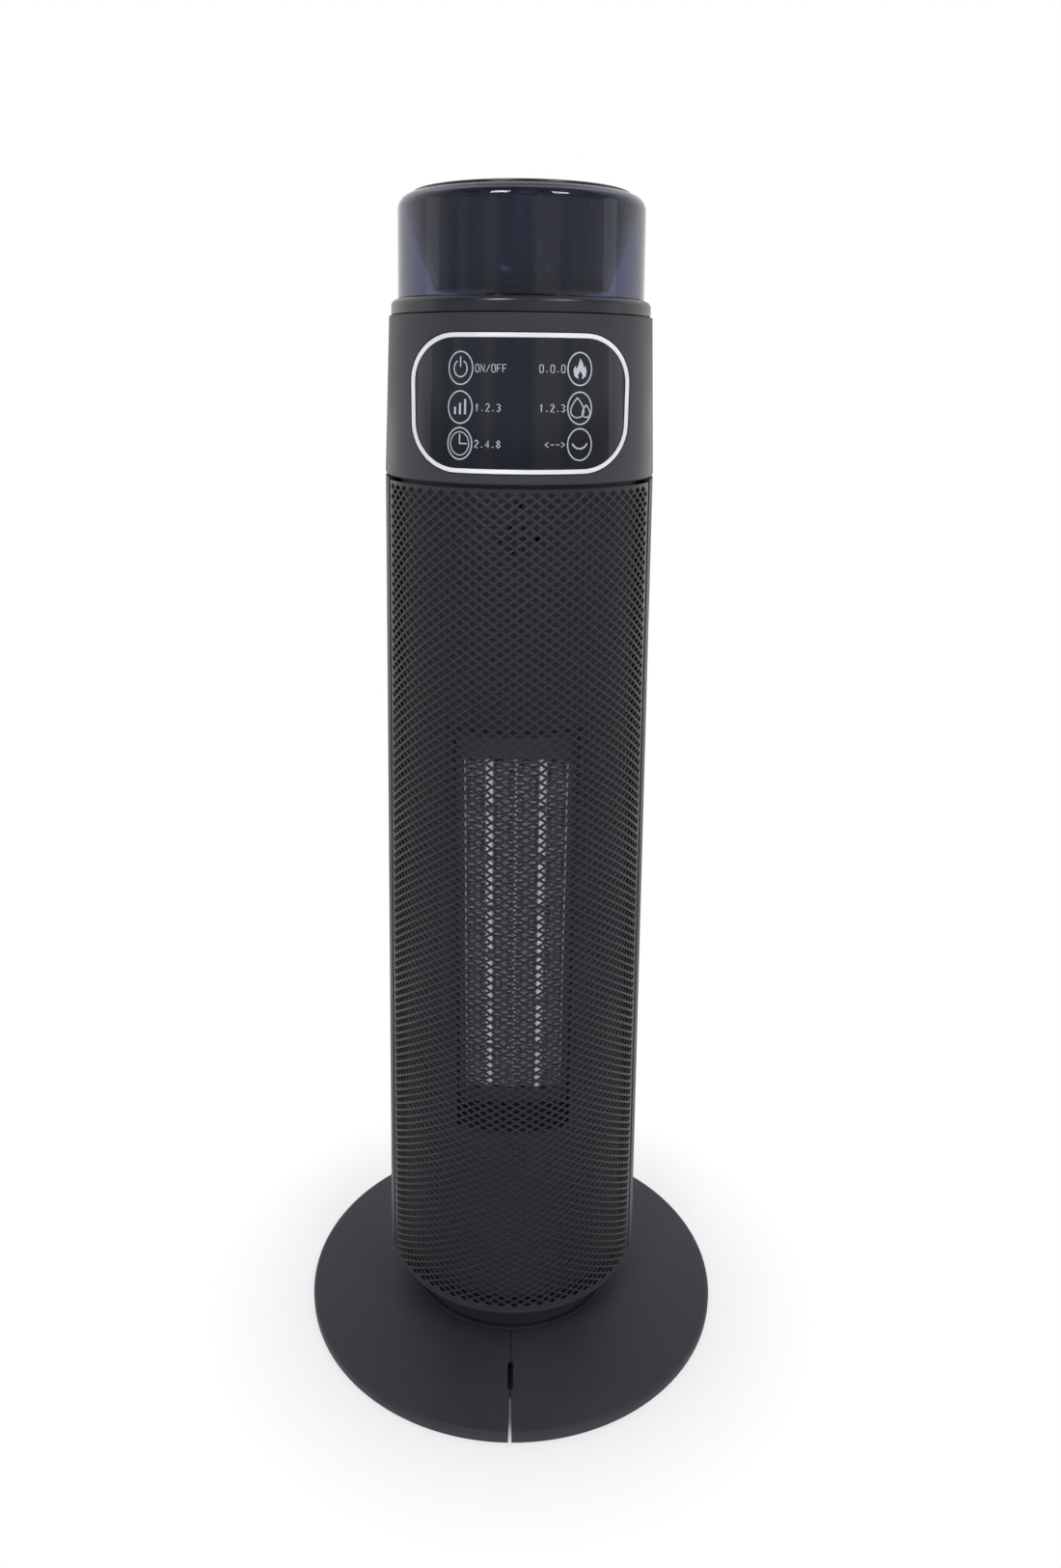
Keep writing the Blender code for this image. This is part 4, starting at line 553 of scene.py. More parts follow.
def foot_section():
    """Profile of the foot: a thin dish that swells gently from its rim to the neck."""
    outer = high("base_right").x
    bottom, top = levels("base_right")
    rim = bottom + FOOT_RIM
    edge = outer - FOOT_EDGE
    upper = [(FOOT_BORE, top)]
    for share in (step / 8 for step in range(9)):
        upper.append((FOOT_SHOULDER + (edge - FOOT_SHOULDER) * share, top + (rim - top) * share))
    return upper + oval((edge, rim - FOOT_EDGE), 2 * FOOT_EDGE, 2 * FOOT_EDGE, 3 * pi / 8, 0.0, 3) + [
        (outer, bottom), (outer - FOOT_WALL, bottom), (outer - FOOT_WALL, rim - FOOT_WALL),
        (FOOT_SHOULDER, top - FOOT_WALL), (FOOT_BORE, top - FOOT_WALL)]


def slot_outline():
    """Rounded outline of the slot across the foot's front seam."""
    near = low("base_right").y + FOOT_SLOT_INSET
    half = FOOT_SLOT_WIDTH / 2
    return [spot for centre, first in ((near + half, pi), (near + FOOT_SLOT_LENGTH - half, 0.0))
            for spot in oval((0.0, centre), FOOT_SLOT_WIDTH, FOOT_SLOT_WIDTH, first, first + pi, 8)]


def gap_outline():
    """Outline of the gap that opens between the halves towards the rim."""
    near = low("base_right").y
    far = near + FOOT_SLOT_INSET + FOOT_SLOT_WIDTH / 2
    return [(-FOOT_GAP_NEAR / 2, near - FOOT_EDGE), (FOOT_GAP_NEAR / 2, near - FOOT_EDGE),
            (FOOT_GAP_FAR / 2, far), (-FOOT_GAP_FAR / 2, far)]


def foot():
    """The foot's two halves with ribs under them, and the block that joins them."""
    bottom, top = levels("base_right")
    for name, side in (("left", -1), ("right", 1)):
        half = turned("foot_half_" + name, foot_section(), STEPS // 2, -side * pi / 2, pi)
        for vertex in half.data.vertices:
            if abs(vertex.co.x) < WELD * 10:
                vertex.co.x = side * FOOT_SEAM / 2
        carve(half, *(slab("foot_tool", outline, bottom - FOOT_WALL, top + FOOT_WALL)
                      for outline in (slot_outline(), gap_outline())))
        dress(half, "charcoal", "base_" + name, body="base")
        ribs = bmesh.new()
        for index in range(RIB_COUNT):
            turn = pi * (index + 1) / (RIB_COUNT + 1) - pi / 2
            box_into(ribs, (RIB_START, -RIB_WIDTH / 2, bottom + RIB_LEVELS[0]),
                     (high("base_right").x - FOOT_WALL - RIB_GAP, RIB_WIDTH / 2, bottom + RIB_LEVELS[1]),
                     Matrix.Rotation(turn if side > 0 else pi - turn, 4, "Z"))
        dress(solid("foot_ribs_" + name, ribs), "charcoal", body="base")
    near = low("base_right").y + FOOT_SLOT_INSET + FOOT_SLOT_WIDTH
    outline = softened([(-JOINT_HALF_WIDTH, near), (JOINT_HALF_WIDTH, near), (JOINT_HALF_WIDTH, -JOINT_END),
                        (-JOINT_HALF_WIDTH, -JOINT_END)], JOINT_SOFT)
    joint = slab("foot_joint", outline, bottom, bottom + JOINT_HEIGHT)
    dress(joint, "charcoal", look="inner_plastic", body="base")


def neck():
    """Neck that stands on the foot, with a small flange; its look is darkened with painted shade."""
    bottom, top = levels("neck_collar")
    outer = radius_at("neck_collar", top)
    flange = radius_at("neck_collar", bottom)
    inner = outer - NECK_WALL
    profile = softened([
        (outer, top), (outer, bottom + NECK_FLANGE_HEIGHT), (flange, bottom + NECK_FLANGE_HEIGHT),
        (flange, bottom), (NECK_BORE, bottom), (NECK_BORE, bottom + NECK_WALL),
        (inner, bottom + NECK_WALL), (inner, top)], FINE_SOFT)
    # The neck look is charcoal darkened as painted shade under the tower.
    dress(turned("neck_tube", profile), "charcoal", "neck_collar", "neck", "base")


def bottom_band():
    """Floor of the tower: a rounded band under the mesh, with the tube it turns on."""
    top = TOWER_LOW - GAP
    bottom = top - BAND_HEIGHT
    side = TOWER_LOW_RADIUS
    lip = side - SHELL_WALL - BAND_LIP_INSET
    profile = softened([
        (lip, top + BAND_LIP), (lip, top), (side, top), (side - BAND_DRAFT, top - BAND_LIP),
        (side - BAND_INSET, bottom), (PIVOT_RADIUS, bottom), (PIVOT_RADIUS, bottom - PIVOT_LENGTH),
        (PIVOT_BORE, bottom - PIVOT_LENGTH), (PIVOT_BORE, bottom + BAND_WALL),
        (side - BAND_INSET - BAND_WALL, bottom + BAND_WALL), (lip - BAND_WALL, top),
        (lip - BAND_WALL, top + BAND_LIP)], SOFT)
    dress(turned("tower_floor", profile), "charcoal", "bottom_cap", "band")


# Tower

def wrapped(angle, height, inset=0.0):
    """A point on the tower's cone, with the angle counted from the front."""
    radius = tower_radius(height) - inset
    return (radius * sin(angle), -radius * cos(angle), height)


def lattice_point(column, row, inset=0.0, shift=(0.0, 0.0)):
    """A point of the mesh, from its column and row counted in half cells."""
    side = GRILLE_HALF_ANGLE - (SIDE_SEAM + GRILLE_BORDER) / TOWER_HIGH_RADIUS
    bottom = TOWER_LOW + GRILLE_BORDER
    top = TOWER_HIGH - GRILLE_TOP_GAP - GRILLE_TOP_BORDER
    angle = side * (2 * (column + shift[0]) / GRILLE_HALF_COLUMNS - 1)
    height = bottom + (top - bottom) * (row + shift[1]) / (2 * GRILLE_ROWS)
    return wrapped(angle, height, inset)


def fine_mesh():
    """The tower's front: crossing strands with a crowned section and rhombic holes, in a thin border."""
    columns = GRILLE_HALF_COLUMNS
    rows = 2 * GRILLE_ROWS
    cell_width = 2 * GRILLE_HALF_ANGLE * (TOWER_LOW_RADIUS + TOWER_HIGH_RADIUS) / columns
    cell_height = (TOWER_HIGH - TOWER_LOW) / GRILLE_ROWS
    reach = cell_width * cell_height / 2 / hypot(cell_width, cell_height)
    share = 1 - GRILLE_STRAND / 2 / reach
    work = bmesh.new()
    corners = {}

    def corner(column, row):
        """Front and back vertex where strands cross, made when first asked for."""
        if (column, row) not in corners:
            corners[column, row] = [
                work.verts.new(lattice_point(column, row, inset)) for inset in (0.0, GRILLE_DEPTH)]
        return corners[column, row]

    for row in range(rows + 1):
        for column in range(row % 2, columns + 1, 2):
            around = [(column, row - 1), (column + 1, row), (column, row + 1), (column - 1, row)]
            inside = [0 <= c <= columns and 0 <= r <= rows for c, r in around]
            if all(inside):
                paths = []
                for c, r in around:
                    front, back = corner(c, r)
                    shift = ((c - column) * share, (r - row) * share)
                    edge = [work.verts.new(lattice_point(column, row, inset, shift))
                            for inset in (GRILLE_CROWN, GRILLE_DEPTH - GRILLE_CROWN)]
                    paths.append([front, *edge, back])
                for first, second in zip(paths, paths[1:] + paths[:1]):
                    for i in range(3):
                        work.faces.new((first[i], second[i], second[i + 1], first[i + 1]))
            else:
                spots = dict.fromkeys(
                    spot if kept else (column, row) for spot, kept in zip(around, inside))
                work.faces.new([corner(*spot)[0] for spot in spots])
                work.faces.new([corner(*spot)[1] for spot in reversed(spots)])
    border_into(work, corner)
    dress(solid("front_mesh", work), "mesh", "front_grille")


def border_into(work, corner):
    """Add the thin border round the mesh, closed on its outer side."""
    columns = GRILLE_HALF_COLUMNS
    rows = 2 * GRILLE_ROWS
    path = [(column, 0) for column in range(columns)] + [(columns, row) for row in range(rows)]
    path += [(columns - column, rows - row) for column, row in path]
    side = GRILLE_HALF_ANGLE - SIDE_SEAM / TOWER_HIGH_RADIUS
    rings = []
    for column, row in path:
        x, y, z = lattice_point(column, row)
        angle = {0: -side, columns: side}.get(column, asin(x / hypot(x, y)))
        height = {0: TOWER_LOW, rows: TOWER_HIGH - GRILLE_TOP_GAP}.get(row, z)
        outside = [work.verts.new(wrapped(angle, height, inset)) for inset in (0.0, GRILLE_DEPTH)]
        rings.append(corner(column, row) + outside)
    for first, second in zip(rings, rings[1:] + rings[:1]):
        work.faces.new((first[0], first[2], second[2], second[0]))
        work.faces.new((first[1], second[1], second[3], first[3]))
        work.faces.new((first[2], first[3], second[3], second[2]))


def rear_shell():
    """Back shell with rows of inlet slots, two rows of screws and the cord's entry."""
    duct_low, duct_high = levels("fan_housing")
    pitch = (duct_high - duct_low) / INLET_ROWS
    heights = [TOWER_LOW, TOWER_LOW + SHELL_WALL]
    for row in range(INLET_ROWS):
        heights.append(duct_low + pitch * (row + INLET_BAR_SHARE / 2))
        heights.append(duct_low + pitch * (row + 1 - INLET_BAR_SHARE / 2))
    heights.append(TOWER_HIGH)
    half_post = INLET_POST_WIDTH / 2 / TOWER_LOW_RADIUS
    posts = []
    for index in range(INLET_POSTS):
        middle = pi + INLET_HALF_ANGLE * (2 * index / (INLET_POSTS - 1) - 1)
        posts.append((middle - half_post, middle + half_post))
    sweep = tau - 2 * GRILLE_HALF_ANGLE
    angles = [edge for post in posts for edge in post]
    for step in range(STEPS // 2 + 1):
        angle = GRILLE_HALF_ANGLE + sweep * step / (STEPS // 2)
        if all(not first - INLET_POST_ROOM < angle < last + INLET_POST_ROOM for first, last in posts):
            angles.append(angle)
    angles.sort()
    work = bmesh.new()
    grid = [[work.verts.new(wrapped(angle, height)) for angle in angles] for height in heights]
    for level, (under, over) in enumerate(zip(grid, grid[1:])):
        for index in range(len(angles) - 1):
            middle = (angles[index] + angles[index + 1]) / 2
            slotted = level and level % 2 == 0 and posts[0][1] < middle < posts[-1][0]
            if slotted and all(not first < middle < last for first, last in posts):
                continue
            work.faces.new((under[index], under[index + 1], over[index + 1], over[index]))
    shell = solid("rear_shell", work)
    face = shell.data.polygons[0]
    inward = face.normal.dot(face.center * Vector((1, 1, 0))) < 0
    thicken(shell, SHELL_WALL, 1.0 if inward else -1.0)
    carve(shell, inlet_rib(duct_low, duct_high), operation="UNION")
    height = sum(levels("cord_gland")) / 2
    tool = bmesh.new()
    rod_into(tool, BUSH_BORE, (0.0, TOWER_LOW_RADIUS / 2, height), (0.0, TOWER_LOW_RADIUS * 2, height), 24)
    wells = []
    for _, place in screw_places():
        radius = SCREW_RADIUS + GAP
        well = turned("screw_well", [
            (0.0, SCREW_WELL), (radius, SCREW_WELL), (radius, -SCREW_DEPTH), (0.0, -SCREW_DEPTH)], SMALL_STEPS)
        well.data.transform(place)
        wells.append(well)
    carve(shell, solid("gland_tool", tool), *wells)
    dress(shell, "charcoal", "rear_housing")


def inlet_rib(bottom, top):
    """Upright rib behind the middle post of the inlet, which reaches to the fan's housing."""
    front = high("fan_housing").y + GAP
    outline = [(front, bottom), (tower_radius(bottom) - SHELL_WALL / 2, bottom),
               (tower_radius(top) - SHELL_WALL / 2, top), (front, top)]
    work = bmesh.new()
    prism_into(work, ([(side * INLET_RIB_WIDTH / 2, y, z) for y, z in outline] for side in (-1, 1)))
    return solid("inlet_rib", work)


def screw_places():
    """Each screw's name and the move to its place on the back shell, where its +Z points out."""
    for name, side in (("left_", -1), ("right_", 1)):
        for number, height in enumerate(SCREW_HEIGHTS):
            centre = Vector(wrapped(pi + side * SCREW_ANGLE, height))
            outward = Vector((centre.x, centre.y, 0.0)).normalized()
            yield name + str(number + 1), Matrix.Translation(centre) @ pointed(outward)


def rear_screws():
    """Cross-head screws, sunk into the two sides of the back shell."""
    floor_level, top = CROSS_LEVELS
    for name, place in screw_places():
        head = turned("rear_screw_" + name, SCREW_HEAD, SMALL_STEPS)
        tool = bmesh.new()
        box_into(tool, (-CROSS_LENGTH, -CROSS_WIDTH, floor_level), (CROSS_LENGTH, CROSS_WIDTH, top))
        for start, end in ((-CROSS_LENGTH, -CROSS_WIDTH), (CROSS_WIDTH, CROSS_LENGTH)):
            box_into(tool, (-CROSS_WIDTH, start, floor_level), (CROSS_WIDTH, end, top))
        bmesh.ops.remove_doubles(tool, verts=tool.verts, dist=WELD)
        carve(head, solid("cross_tool", tool))
        head.data.transform(place @ Matrix.Translation((0.0, 0.0, GAP - SCREW_DEPTH)))
        dress(head, "steel", look="screws")


def cord_entry():
    """Rubber bush of the cord's entry, with a flange."""
    bottom, top = levels("cord_gland")
    start = low("cord_gland").y
    depth = high("cord_gland").y - start
    flange = (top - bottom) / 2
    profile = softened([
        (BUSH_RADIUS, 0.0), (BUSH_RADIUS, depth - BUSH_FLANGE), (flange, depth - BUSH_FLANGE),
        (flange, depth - BUSH_CHAMFER), (BUSH_NOSE, depth), (CORD_RADIUS, depth), (CORD_RADIUS, 0.0)],
        BUSH_SOFT)
    bush = turned("cord_bush", profile, 48)
    place = Matrix.Translation((0.0, start, (bottom + top) / 2))
    bush.data.transform(place @ Matrix.Rotation(-pi / 2, 4, "X"))
    dress(bush, "rubber", "cord_gland")


def inner_cover():
    """Dark cover behind the mesh, with the tunnel to the heater and the small sound holes."""
    lower = radius_at("front_duct_cover", TOWER_LOW)
    upper = tower_radius(TOWER_HIGH) - tower_radius(TOWER_LOW) + lower
    cover = turned("inner_cover", [
        (upper, TOWER_HIGH), (lower, TOWER_LOW), (lower - COVER_WALL, TOWER_LOW),
        (upper - COVER_WALL, TOWER_HIGH)], STEPS // 2, -pi / 2 - COVER_HALF_ANGLE, 2 * COVER_HALF_ANGLE)
    core = turned("tunnel_core", [
        (0.0, TOWER_HIGH), (upper + BEAD_RISE, TOWER_HIGH), (lower + BEAD_RISE, TOWER_LOW),
        (0.0, TOWER_LOW)])
    half = TUNNEL_WIDTH / 2
    walls = bmesh.new()
    box_into(walls, (-half - BEAD_WIDTH, -TOWER_LOW_RADIUS, TUNNEL_LOW - COVER_WALL),
             (half + BEAD_WIDTH, high("heater_frame").y, TUNNEL_HIGH + COVER_WALL))
    tunnel = carve(solid("tunnel", walls), core, operation="INTERSECT")
    carve(cover, tunnel, operation="UNION")
    space = bmesh.new()
    box_into(space, (-half, -2 * TOWER_LOW_RADIUS, TUNNEL_LOW), (half, 0.0, TUNNEL_HIGH))
    holes = bmesh.new()
    for across, up in SOUND_HOLES:
        x = across * SOUND_HOLE_PITCH
        z = sum(levels("buzzer")) / 2 + up * SOUND_HOLE_PITCH * sqrt(3) / 2
        rod_into(holes, SOUND_HOLE_RADIUS, (x, -2 * TOWER_LOW_RADIUS, z), (x, low("buzzer").y - GAP, z), 16)
    carve(cover, solid("tunnel_space", space), solid("sound_hole_tools", holes))
    # The cover look is the inner plastic's own dark colour, lightened by painted light against the shade
    # behind the mesh.
    dress(cover, "inner_plastic", "front_duct_cover", "cover")


# Heating element

def fin_band(number):
    """Corrugated band of thin aluminium between two upright plates, thicker at the element's edges."""
    lowest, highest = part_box("fin_bank_" + str(number))
    left = lowest.x + (EDGE_PLATE if number == 1 else FIN_PLATE)
    right = highest.x - (EDGE_PLATE if number == FIN_BANDS else FIN_PLATE)
    folds = 2 * round((highest.z - lowest.z) / FIN_FOLD / 2)
    half = FIN_SHEET / 2
    sections = []
    for fold in range(folds + 1):
        height = lowest.z + FIN_SHEET + (highest.z - lowest.z - 2 * FIN_SHEET) * fold / folds
        sections.append([(left if fold % 2 else right, depth, height + lift) for depth, lift in (
            (lowest.y, -half), (highest.y, -half), (highest.y, half), (lowest.y, half))])
    work = bmesh.new()
    prism_into(work, sections)
    folded = len(work.faces)
    box_into(work, lowest, (left, highest.y, highest.z))
    box_into(work, (right, lowest.y, lowest.z), highest)
    work.faces.ensure_lookup_table()
    for face in work.faces[folded:]:
        face.material_index = 1
    band = solid("fin_band_" + str(number), work)
    dress(band, "aluminium", "fin_bank_" + str(number), "fins")
    band.data.materials.append(LOOKS["fin_edges"])
    band.data.shade_flat()


def stone_strip(side):
    """Strip of ceramic stones on a thin carrier at their back, dark in the gaps as painted shade."""
    lowest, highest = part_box("ceramic_bar_" + side)
    pitch = (highest.z - lowest.z + STONE_GAP) / STONES
    back = highest.y - STONE_BACK
    front = []
    for stone in range(STONES):
        start = lowest.z + pitch * stone
        end = start + pitch - STONE_GAP
        front += [(back, start), (lowest.y + STONE_EDGE, start), (lowest.y, start + STONE_EDGE),
                  (lowest.y, end - STONE_EDGE), (lowest.y + STONE_EDGE, end), (back, end)]
    outline = front + [(highest.y, highest.z), (highest.y, lowest.z)]
    work = bmesh.new()
    sides = prism_into(work, ([(x, y, z) for y, z in outline] for x in (lowest.x, highest.x)))
    # Carrier faces in the gaps and at the back take the dark look: painted shade between the stones.
    for index, face in enumerate(sides):
        face.material_index = int(index % 6 == 5 or index >= len(front))
    strip = dress(solid("stone_strip_" + side, work), "ceramic", "ceramic_bar_" + side)
    strip.data.materials.append(LOOKS["inner_plastic"])


def heating_element():
    """Fin bands, strips of ceramic stones and the divider."""
    for number in range(1, FIN_BANDS + 1):
        fin_band(number)
    for side in ("left", "right"):
        stone_strip(side)
    lowest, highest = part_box("centre_divider")
    outline = softened([(lowest.x, lowest.y), (highest.x, lowest.y), (highest.x, highest.y),
                        (lowest.x, highest.y)], FIN_PLATE / 2)
    divider = slab("element_divider", outline, lowest.z, highest.z)
    dress(divider, "aluminium", "centre_divider", "fin_edges")


# Control section

def panel_half_width(height, shrink):
    """Half width of the panel's rounded outline at a height, seen from the front."""
    half = high("panel_bezel").x - shrink
    bottom, top = levels("panel_bezel")
    corner = PANEL_CORNER - shrink
    short = max(0.0, bottom + shrink + corner - height, height - top + shrink + corner)
    return half - corner + sqrt(max(0.0, corner * corner - short * short))


def on_control(across, height, lift):
    """A point on the control section at a place seen from the front."""
    radius = control_radius(height) + lift
    return (across, -sqrt(radius * radius - across * across), height)


def panel_patch(name, shrink, lift, depth):
    """A closed patch of the control section's surface with the panel's rounded outline."""
    bottom = low("panel_bezel").z + shrink
    top = high("panel_bezel").z - shrink
    work = bmesh.new()
    front, back = [], []
    for row in range(PANEL_ROWS + 1):
        height = (bottom + top) / 2 - (top - bottom) / 2 * cos(pi * row / PANEL_ROWS)
        half = panel_half_width(height, shrink)
        places = [half * (2 * step / PANEL_COLUMNS - 1) for step in range(PANEL_COLUMNS + 1)]
        for layer, out in ((front, lift), (back, lift - depth)):
            layer.append([work.verts.new(on_control(x, height, out)) for x in places])
    for row in range(PANEL_ROWS):
        for step in range(PANEL_COLUMNS):
            for layer in (front, back):
                work.faces.new((layer[row][step], layer[row][step + 1],
                                layer[row + 1][step + 1], layer[row + 1][step]))
    wall_into(work, *(layer[0][:-1] + [row[-1] for row in layer[:-1]]
                      + layer[-1][:0:-1] + [row[0] for row in layer[:0:-1]] for layer in (front, back)))
    return solid(name, work)


def control_section():
    """Smooth shell of the control section, the glossy panel and its pale border."""
    shelf = CONTROL_HIGH_RADIUS - CONTROL_SHELF
    under = CONTROL_HIGH - CONTROL_WALL
    profile = softened([
        (CONTROL_HIGH_RADIUS - CONTROL_WALL, under), (shelf, under), (shelf, CONTROL_HIGH),
        (CONTROL_HIGH_RADIUS, CONTROL_HIGH)], CONTROL_SOFT, closed=False)
    profile += oval((CONTROL_LOW_RADIUS - CONTROL_EDGE, CONTROL_LOW + CONTROL_EDGE),
                    2 * CONTROL_EDGE, 2 * CONTROL_EDGE, 0.0, -pi / 2, 4)
    profile.append((CONTROL_LOW_RADIUS - CONTROL_WALL, CONTROL_LOW))
    housing = turned("control_shell", profile)
    over = 4 * BORDER_PROUD
    carve(housing, panel_patch("recess_tool", -PANEL_GROOVE, over, PANEL_DEPTH + over))
    dress(housing, "charcoal", "control_housing", "housing")
    border = panel_patch("panel_border", 0.0, BORDER_PROUD, PANEL_DEPTH)
    carve(border, panel_patch("border_tool", PANEL_BORDER, over, PANEL_DEPTH * 4))
    dress(border, "trim_white", "panel_bezel")
    glass = panel_patch("panel_glass", PANEL_BORDER + GAP / 6, 0.0, PANEL_DEPTH * PANEL_GLASS_SHARE)
    dress(glass, "gloss_black", "touch_panel")


def on_panel(arc_length, height, lift):
    """A point on the panel at an arc length from the front's middle."""
    angle = arc_length / control_radius(KEY_LEVELS[1])
    radius = control_radius(height) + lift
    return (radius * sin(angle), -radius * cos(angle), height)


def stroke_into(work, points, width, closed=False):
    """Add a printed stroke along flat points of (arc length, height)."""
    flat = [Vector(point) for point in points]
    count = len(flat)
    rings = []
    for index, point in enumerate(flat):
        before = flat[index - 1] if index or closed else point
        after = flat[(index + 1) % count] if index < count - 1 or closed else point
        along = (after - before).normalized()
        across = Vector((-along.y, along.x)) * width / 2
        if before != point and after != point:
            across /= max(MITRE_LEAST, (point - before).normalized().dot(along))
        left, right = point + across, point - across
        rings.append([work.verts.new(on_panel(*spot, lift)) for spot, lift in (
            (left, INK_HEIGHT), (right, INK_HEIGHT), (right, 0.0), (left, 0.0))])
    sweep_into(work, rings, closed)


def drop(centre, width, height, steps=32):
    """Points of a drop with its tip up."""
    angles = [tau * step / steps for step in range(steps)]
    return [(centre[0] + width * cos(angle) * sqrt((1 - sin(angle)) / 2) * DROP_FULLNESS,
             centre[1] + height / 2 * sin(angle)) for angle in angles]


# Key signs round a key's middle, as strokes: points, share of the ink's width and whether it closes
SIGNS = {
    "power": (
        (oval((0.0, -0.0002), 0.0062, 0.0066, radians(118), radians(422)), 1.0, False),
        (((0.0, 0.0004), (0.0, 0.0046)), 1.0, False)),
    "heat": tuple((((x, -0.0029), (x, top)), 1.7, False)
                  for x, top in ((-0.0024, 0.0001), (0.0, 0.0017), (0.0024, 0.0033))),
    "timer": (
        (oval((0.0, 0.0), 0.0086, 0.0096), 0.8, True),
        (((0.0, 0.0040), (0.0, 0.0), (0.0034, 0.0)), 1.0, False)),
    "light": (),
    "mist": (
        (drop((-0.0012, 0.0002), 0.0052, 0.0080), 0.9, True),
        (drop((0.0030, -0.0012), 0.0032, 0.0050), 0.9, True)),
    "swing": ((oval((0.0, 0.0016), 0.0074, 0.0066, radians(200), radians(340), 20), 1.2, False),)}

# The light key's filled flame with a small opening at its foot, as shares of its width and height
FLAME = (
    (-0.10, -0.50), (-0.42, -0.34), (-0.50, -0.05), (-0.36, 0.16), (-0.26, 0.00), (-0.12, 0.22),
    (0.02, 0.52), (0.20, 0.30), (0.30, 0.05), (0.40, 0.16), (0.50, -0.10), (0.42, -0.36),
    (0.12, -0.50), (0.20, -0.30), (0.02, -0.08), (-0.16, -0.30))
FLAME_WIDTH = 0.0064
FLAME_HEIGHT = 0.0082

# Strokes of the generic marks, as shares of a letter's width and height
LETTERS = {
    "O": [[(0, 0.15), (0, 0.85), (0.25, 1), (0.75, 1), (1, 0.85), (1, 0.15), (0.75, 0), (0.25, 0),
           (0, 0.15)]],
    "N": [[(0, 0), (0, 1), (1, 0), (1, 1)]],
    "F": [[(0, 0), (0, 1), (1, 1)], [(0, 0.52), (0.8, 0.52)]],
    "/": [[(0, 0), (1, 1)]],
    "1": [[(0.2, 0.8), (0.55, 1), (0.55, 0)]],
    "2": [[(0, 0.8), (0.25, 1), (0.75, 1), (1, 0.75), (0, 0), (1, 0)]],
    "3": [[(0, 0.9), (0.5, 1), (1, 0.75), (0.5, 0.53), (1, 0.26), (0.5, 0), (0, 0.1)]],
    "4": [[(0.75, 0), (0.75, 1), (0, 0.3), (1, 0.3)]],
    "8": [[(0.5, 0.53), (0.05, 0.76), (0.5, 1), (0.95, 0.76), (0.5, 0.53), (0, 0.25), (0.5, 0),
           (1, 0.25), (0.5, 0.53)]],
    "<": [[(1, 0.85), (0.1, 0.5), (1, 0.15)]],
    ">": [[(0, 0.85), (0.9, 0.5), (0, 0.15)]],
    "-": [[(0, 0.5), (1, 0.5)]],
    ".": [[(0.3, 0.12), (0.7, 0.12)]]}

# Each key's sign, its side, its row and the mark beside it
KEYS = (
    ("power", -1, 0, "ON/OFF"), ("heat", -1, 1, "1.2.3"), ("timer", -1, 2, "2.4.8"),
    ("light", 1, 0, "O.O.O"), ("mist", 1, 1, "1.2.3"), ("swing", 1, 2, "<-->"))


def mark_into(work, text, left, z):
    """Add a short generic mark of letters, numbers or arrows."""
    for index, letter in enumerate(text):
        start = left + index * (LETTER_WIDTH + LETTER_SPACE)
        for line in LETTERS[letter]:
            stroke_into(work, [(start + across * LETTER_WIDTH, z + (up - 0.5) * LETTER_HEIGHT)
                               for across, up in line], LETTER_INK)


def panel_prints():
    """Ringed key signs on the panel with short generic marks beside them."""
    for name, side, row, mark in KEYS:
        x = side * KEY_ANGLE * control_radius(KEY_LEVELS[1])
        z = KEY_LEVELS[row]
        work = bmesh.new()
        ring = oval((x, z), KEY_WIDTH - INK_WIDTH, KEY_HEIGHT - INK_WIDTH)
        stroke_into(work, ring, INK_WIDTH, True)
        for points, share, closed in SIGNS[name]:
            stroke_into(work, [(x + across, z + up) for across, up in points], INK_WIDTH * share, closed)
        if name == "light":
            prism_into(work, ([on_panel(x + across * FLAME_WIDTH, z + up * FLAME_HEIGHT, lift)
                               for across, up in FLAME] for lift in (0.0, INK_HEIGHT)))
        left = x - side * (KEY_WIDTH / 2 + LABEL_SPACE)
        if side > 0:
            left -= (LETTER_WIDTH + LETTER_SPACE) * len(mark) - LETTER_SPACE
        mark_into(work, mark, left, z)
        dress(solid("key_print_" + name, work), "trim_white", look="ink")


# Mist and light head

def head_ring():
    """Glossy ring under the blue cover."""
    outer = high("trim_ring").x
    bottom, top = levels("trim_ring")
    inner = radius_at("tank_deck", high("tank_deck").z) + GAP
    profile = [
        (inner, bottom), (inner, top),
        *oval((outer - RING_EDGE, top - RING_EDGE), 2 * RING_EDGE, 2 * RING_EDGE, pi / 2, 0.0, 8),
        (outer, bottom + GAP), (outer - GAP, bottom)]
    dress(turned("head_ring", profile), "gloss_black", "trim_ring", "ring")


def blue_shade():
    """Clear blue cover with a rounded shoulder."""
    outer = high("blue_cover").x
    bottom = low("blue_cover").z
    centre = radius_at("blue_cover", high("blue_cover").z - SHADE_ROUND) - SHADE_ROUND
    inside = SHADE_ROUND - SHADE_WALL
    under = SHADE_TOP - SHADE_ROOF
    profile = [
        (SHADE_MOUTH, SHADE_TOP),
        *oval((centre, SHADE_TOP - SHADE_ROUND), 2 * SHADE_ROUND, 2 * SHADE_ROUND, pi / 2, 0.0, 12),
        (outer, bottom), (outer - SHADE_WALL, bottom),
        *oval((centre, under - inside), 2 * inside, 2 * inside, 0.0, pi / 2, 12), (SHADE_MOUTH, under)]
    dress(turned("cover_shell", profile), "blue_clear", "blue_cover")


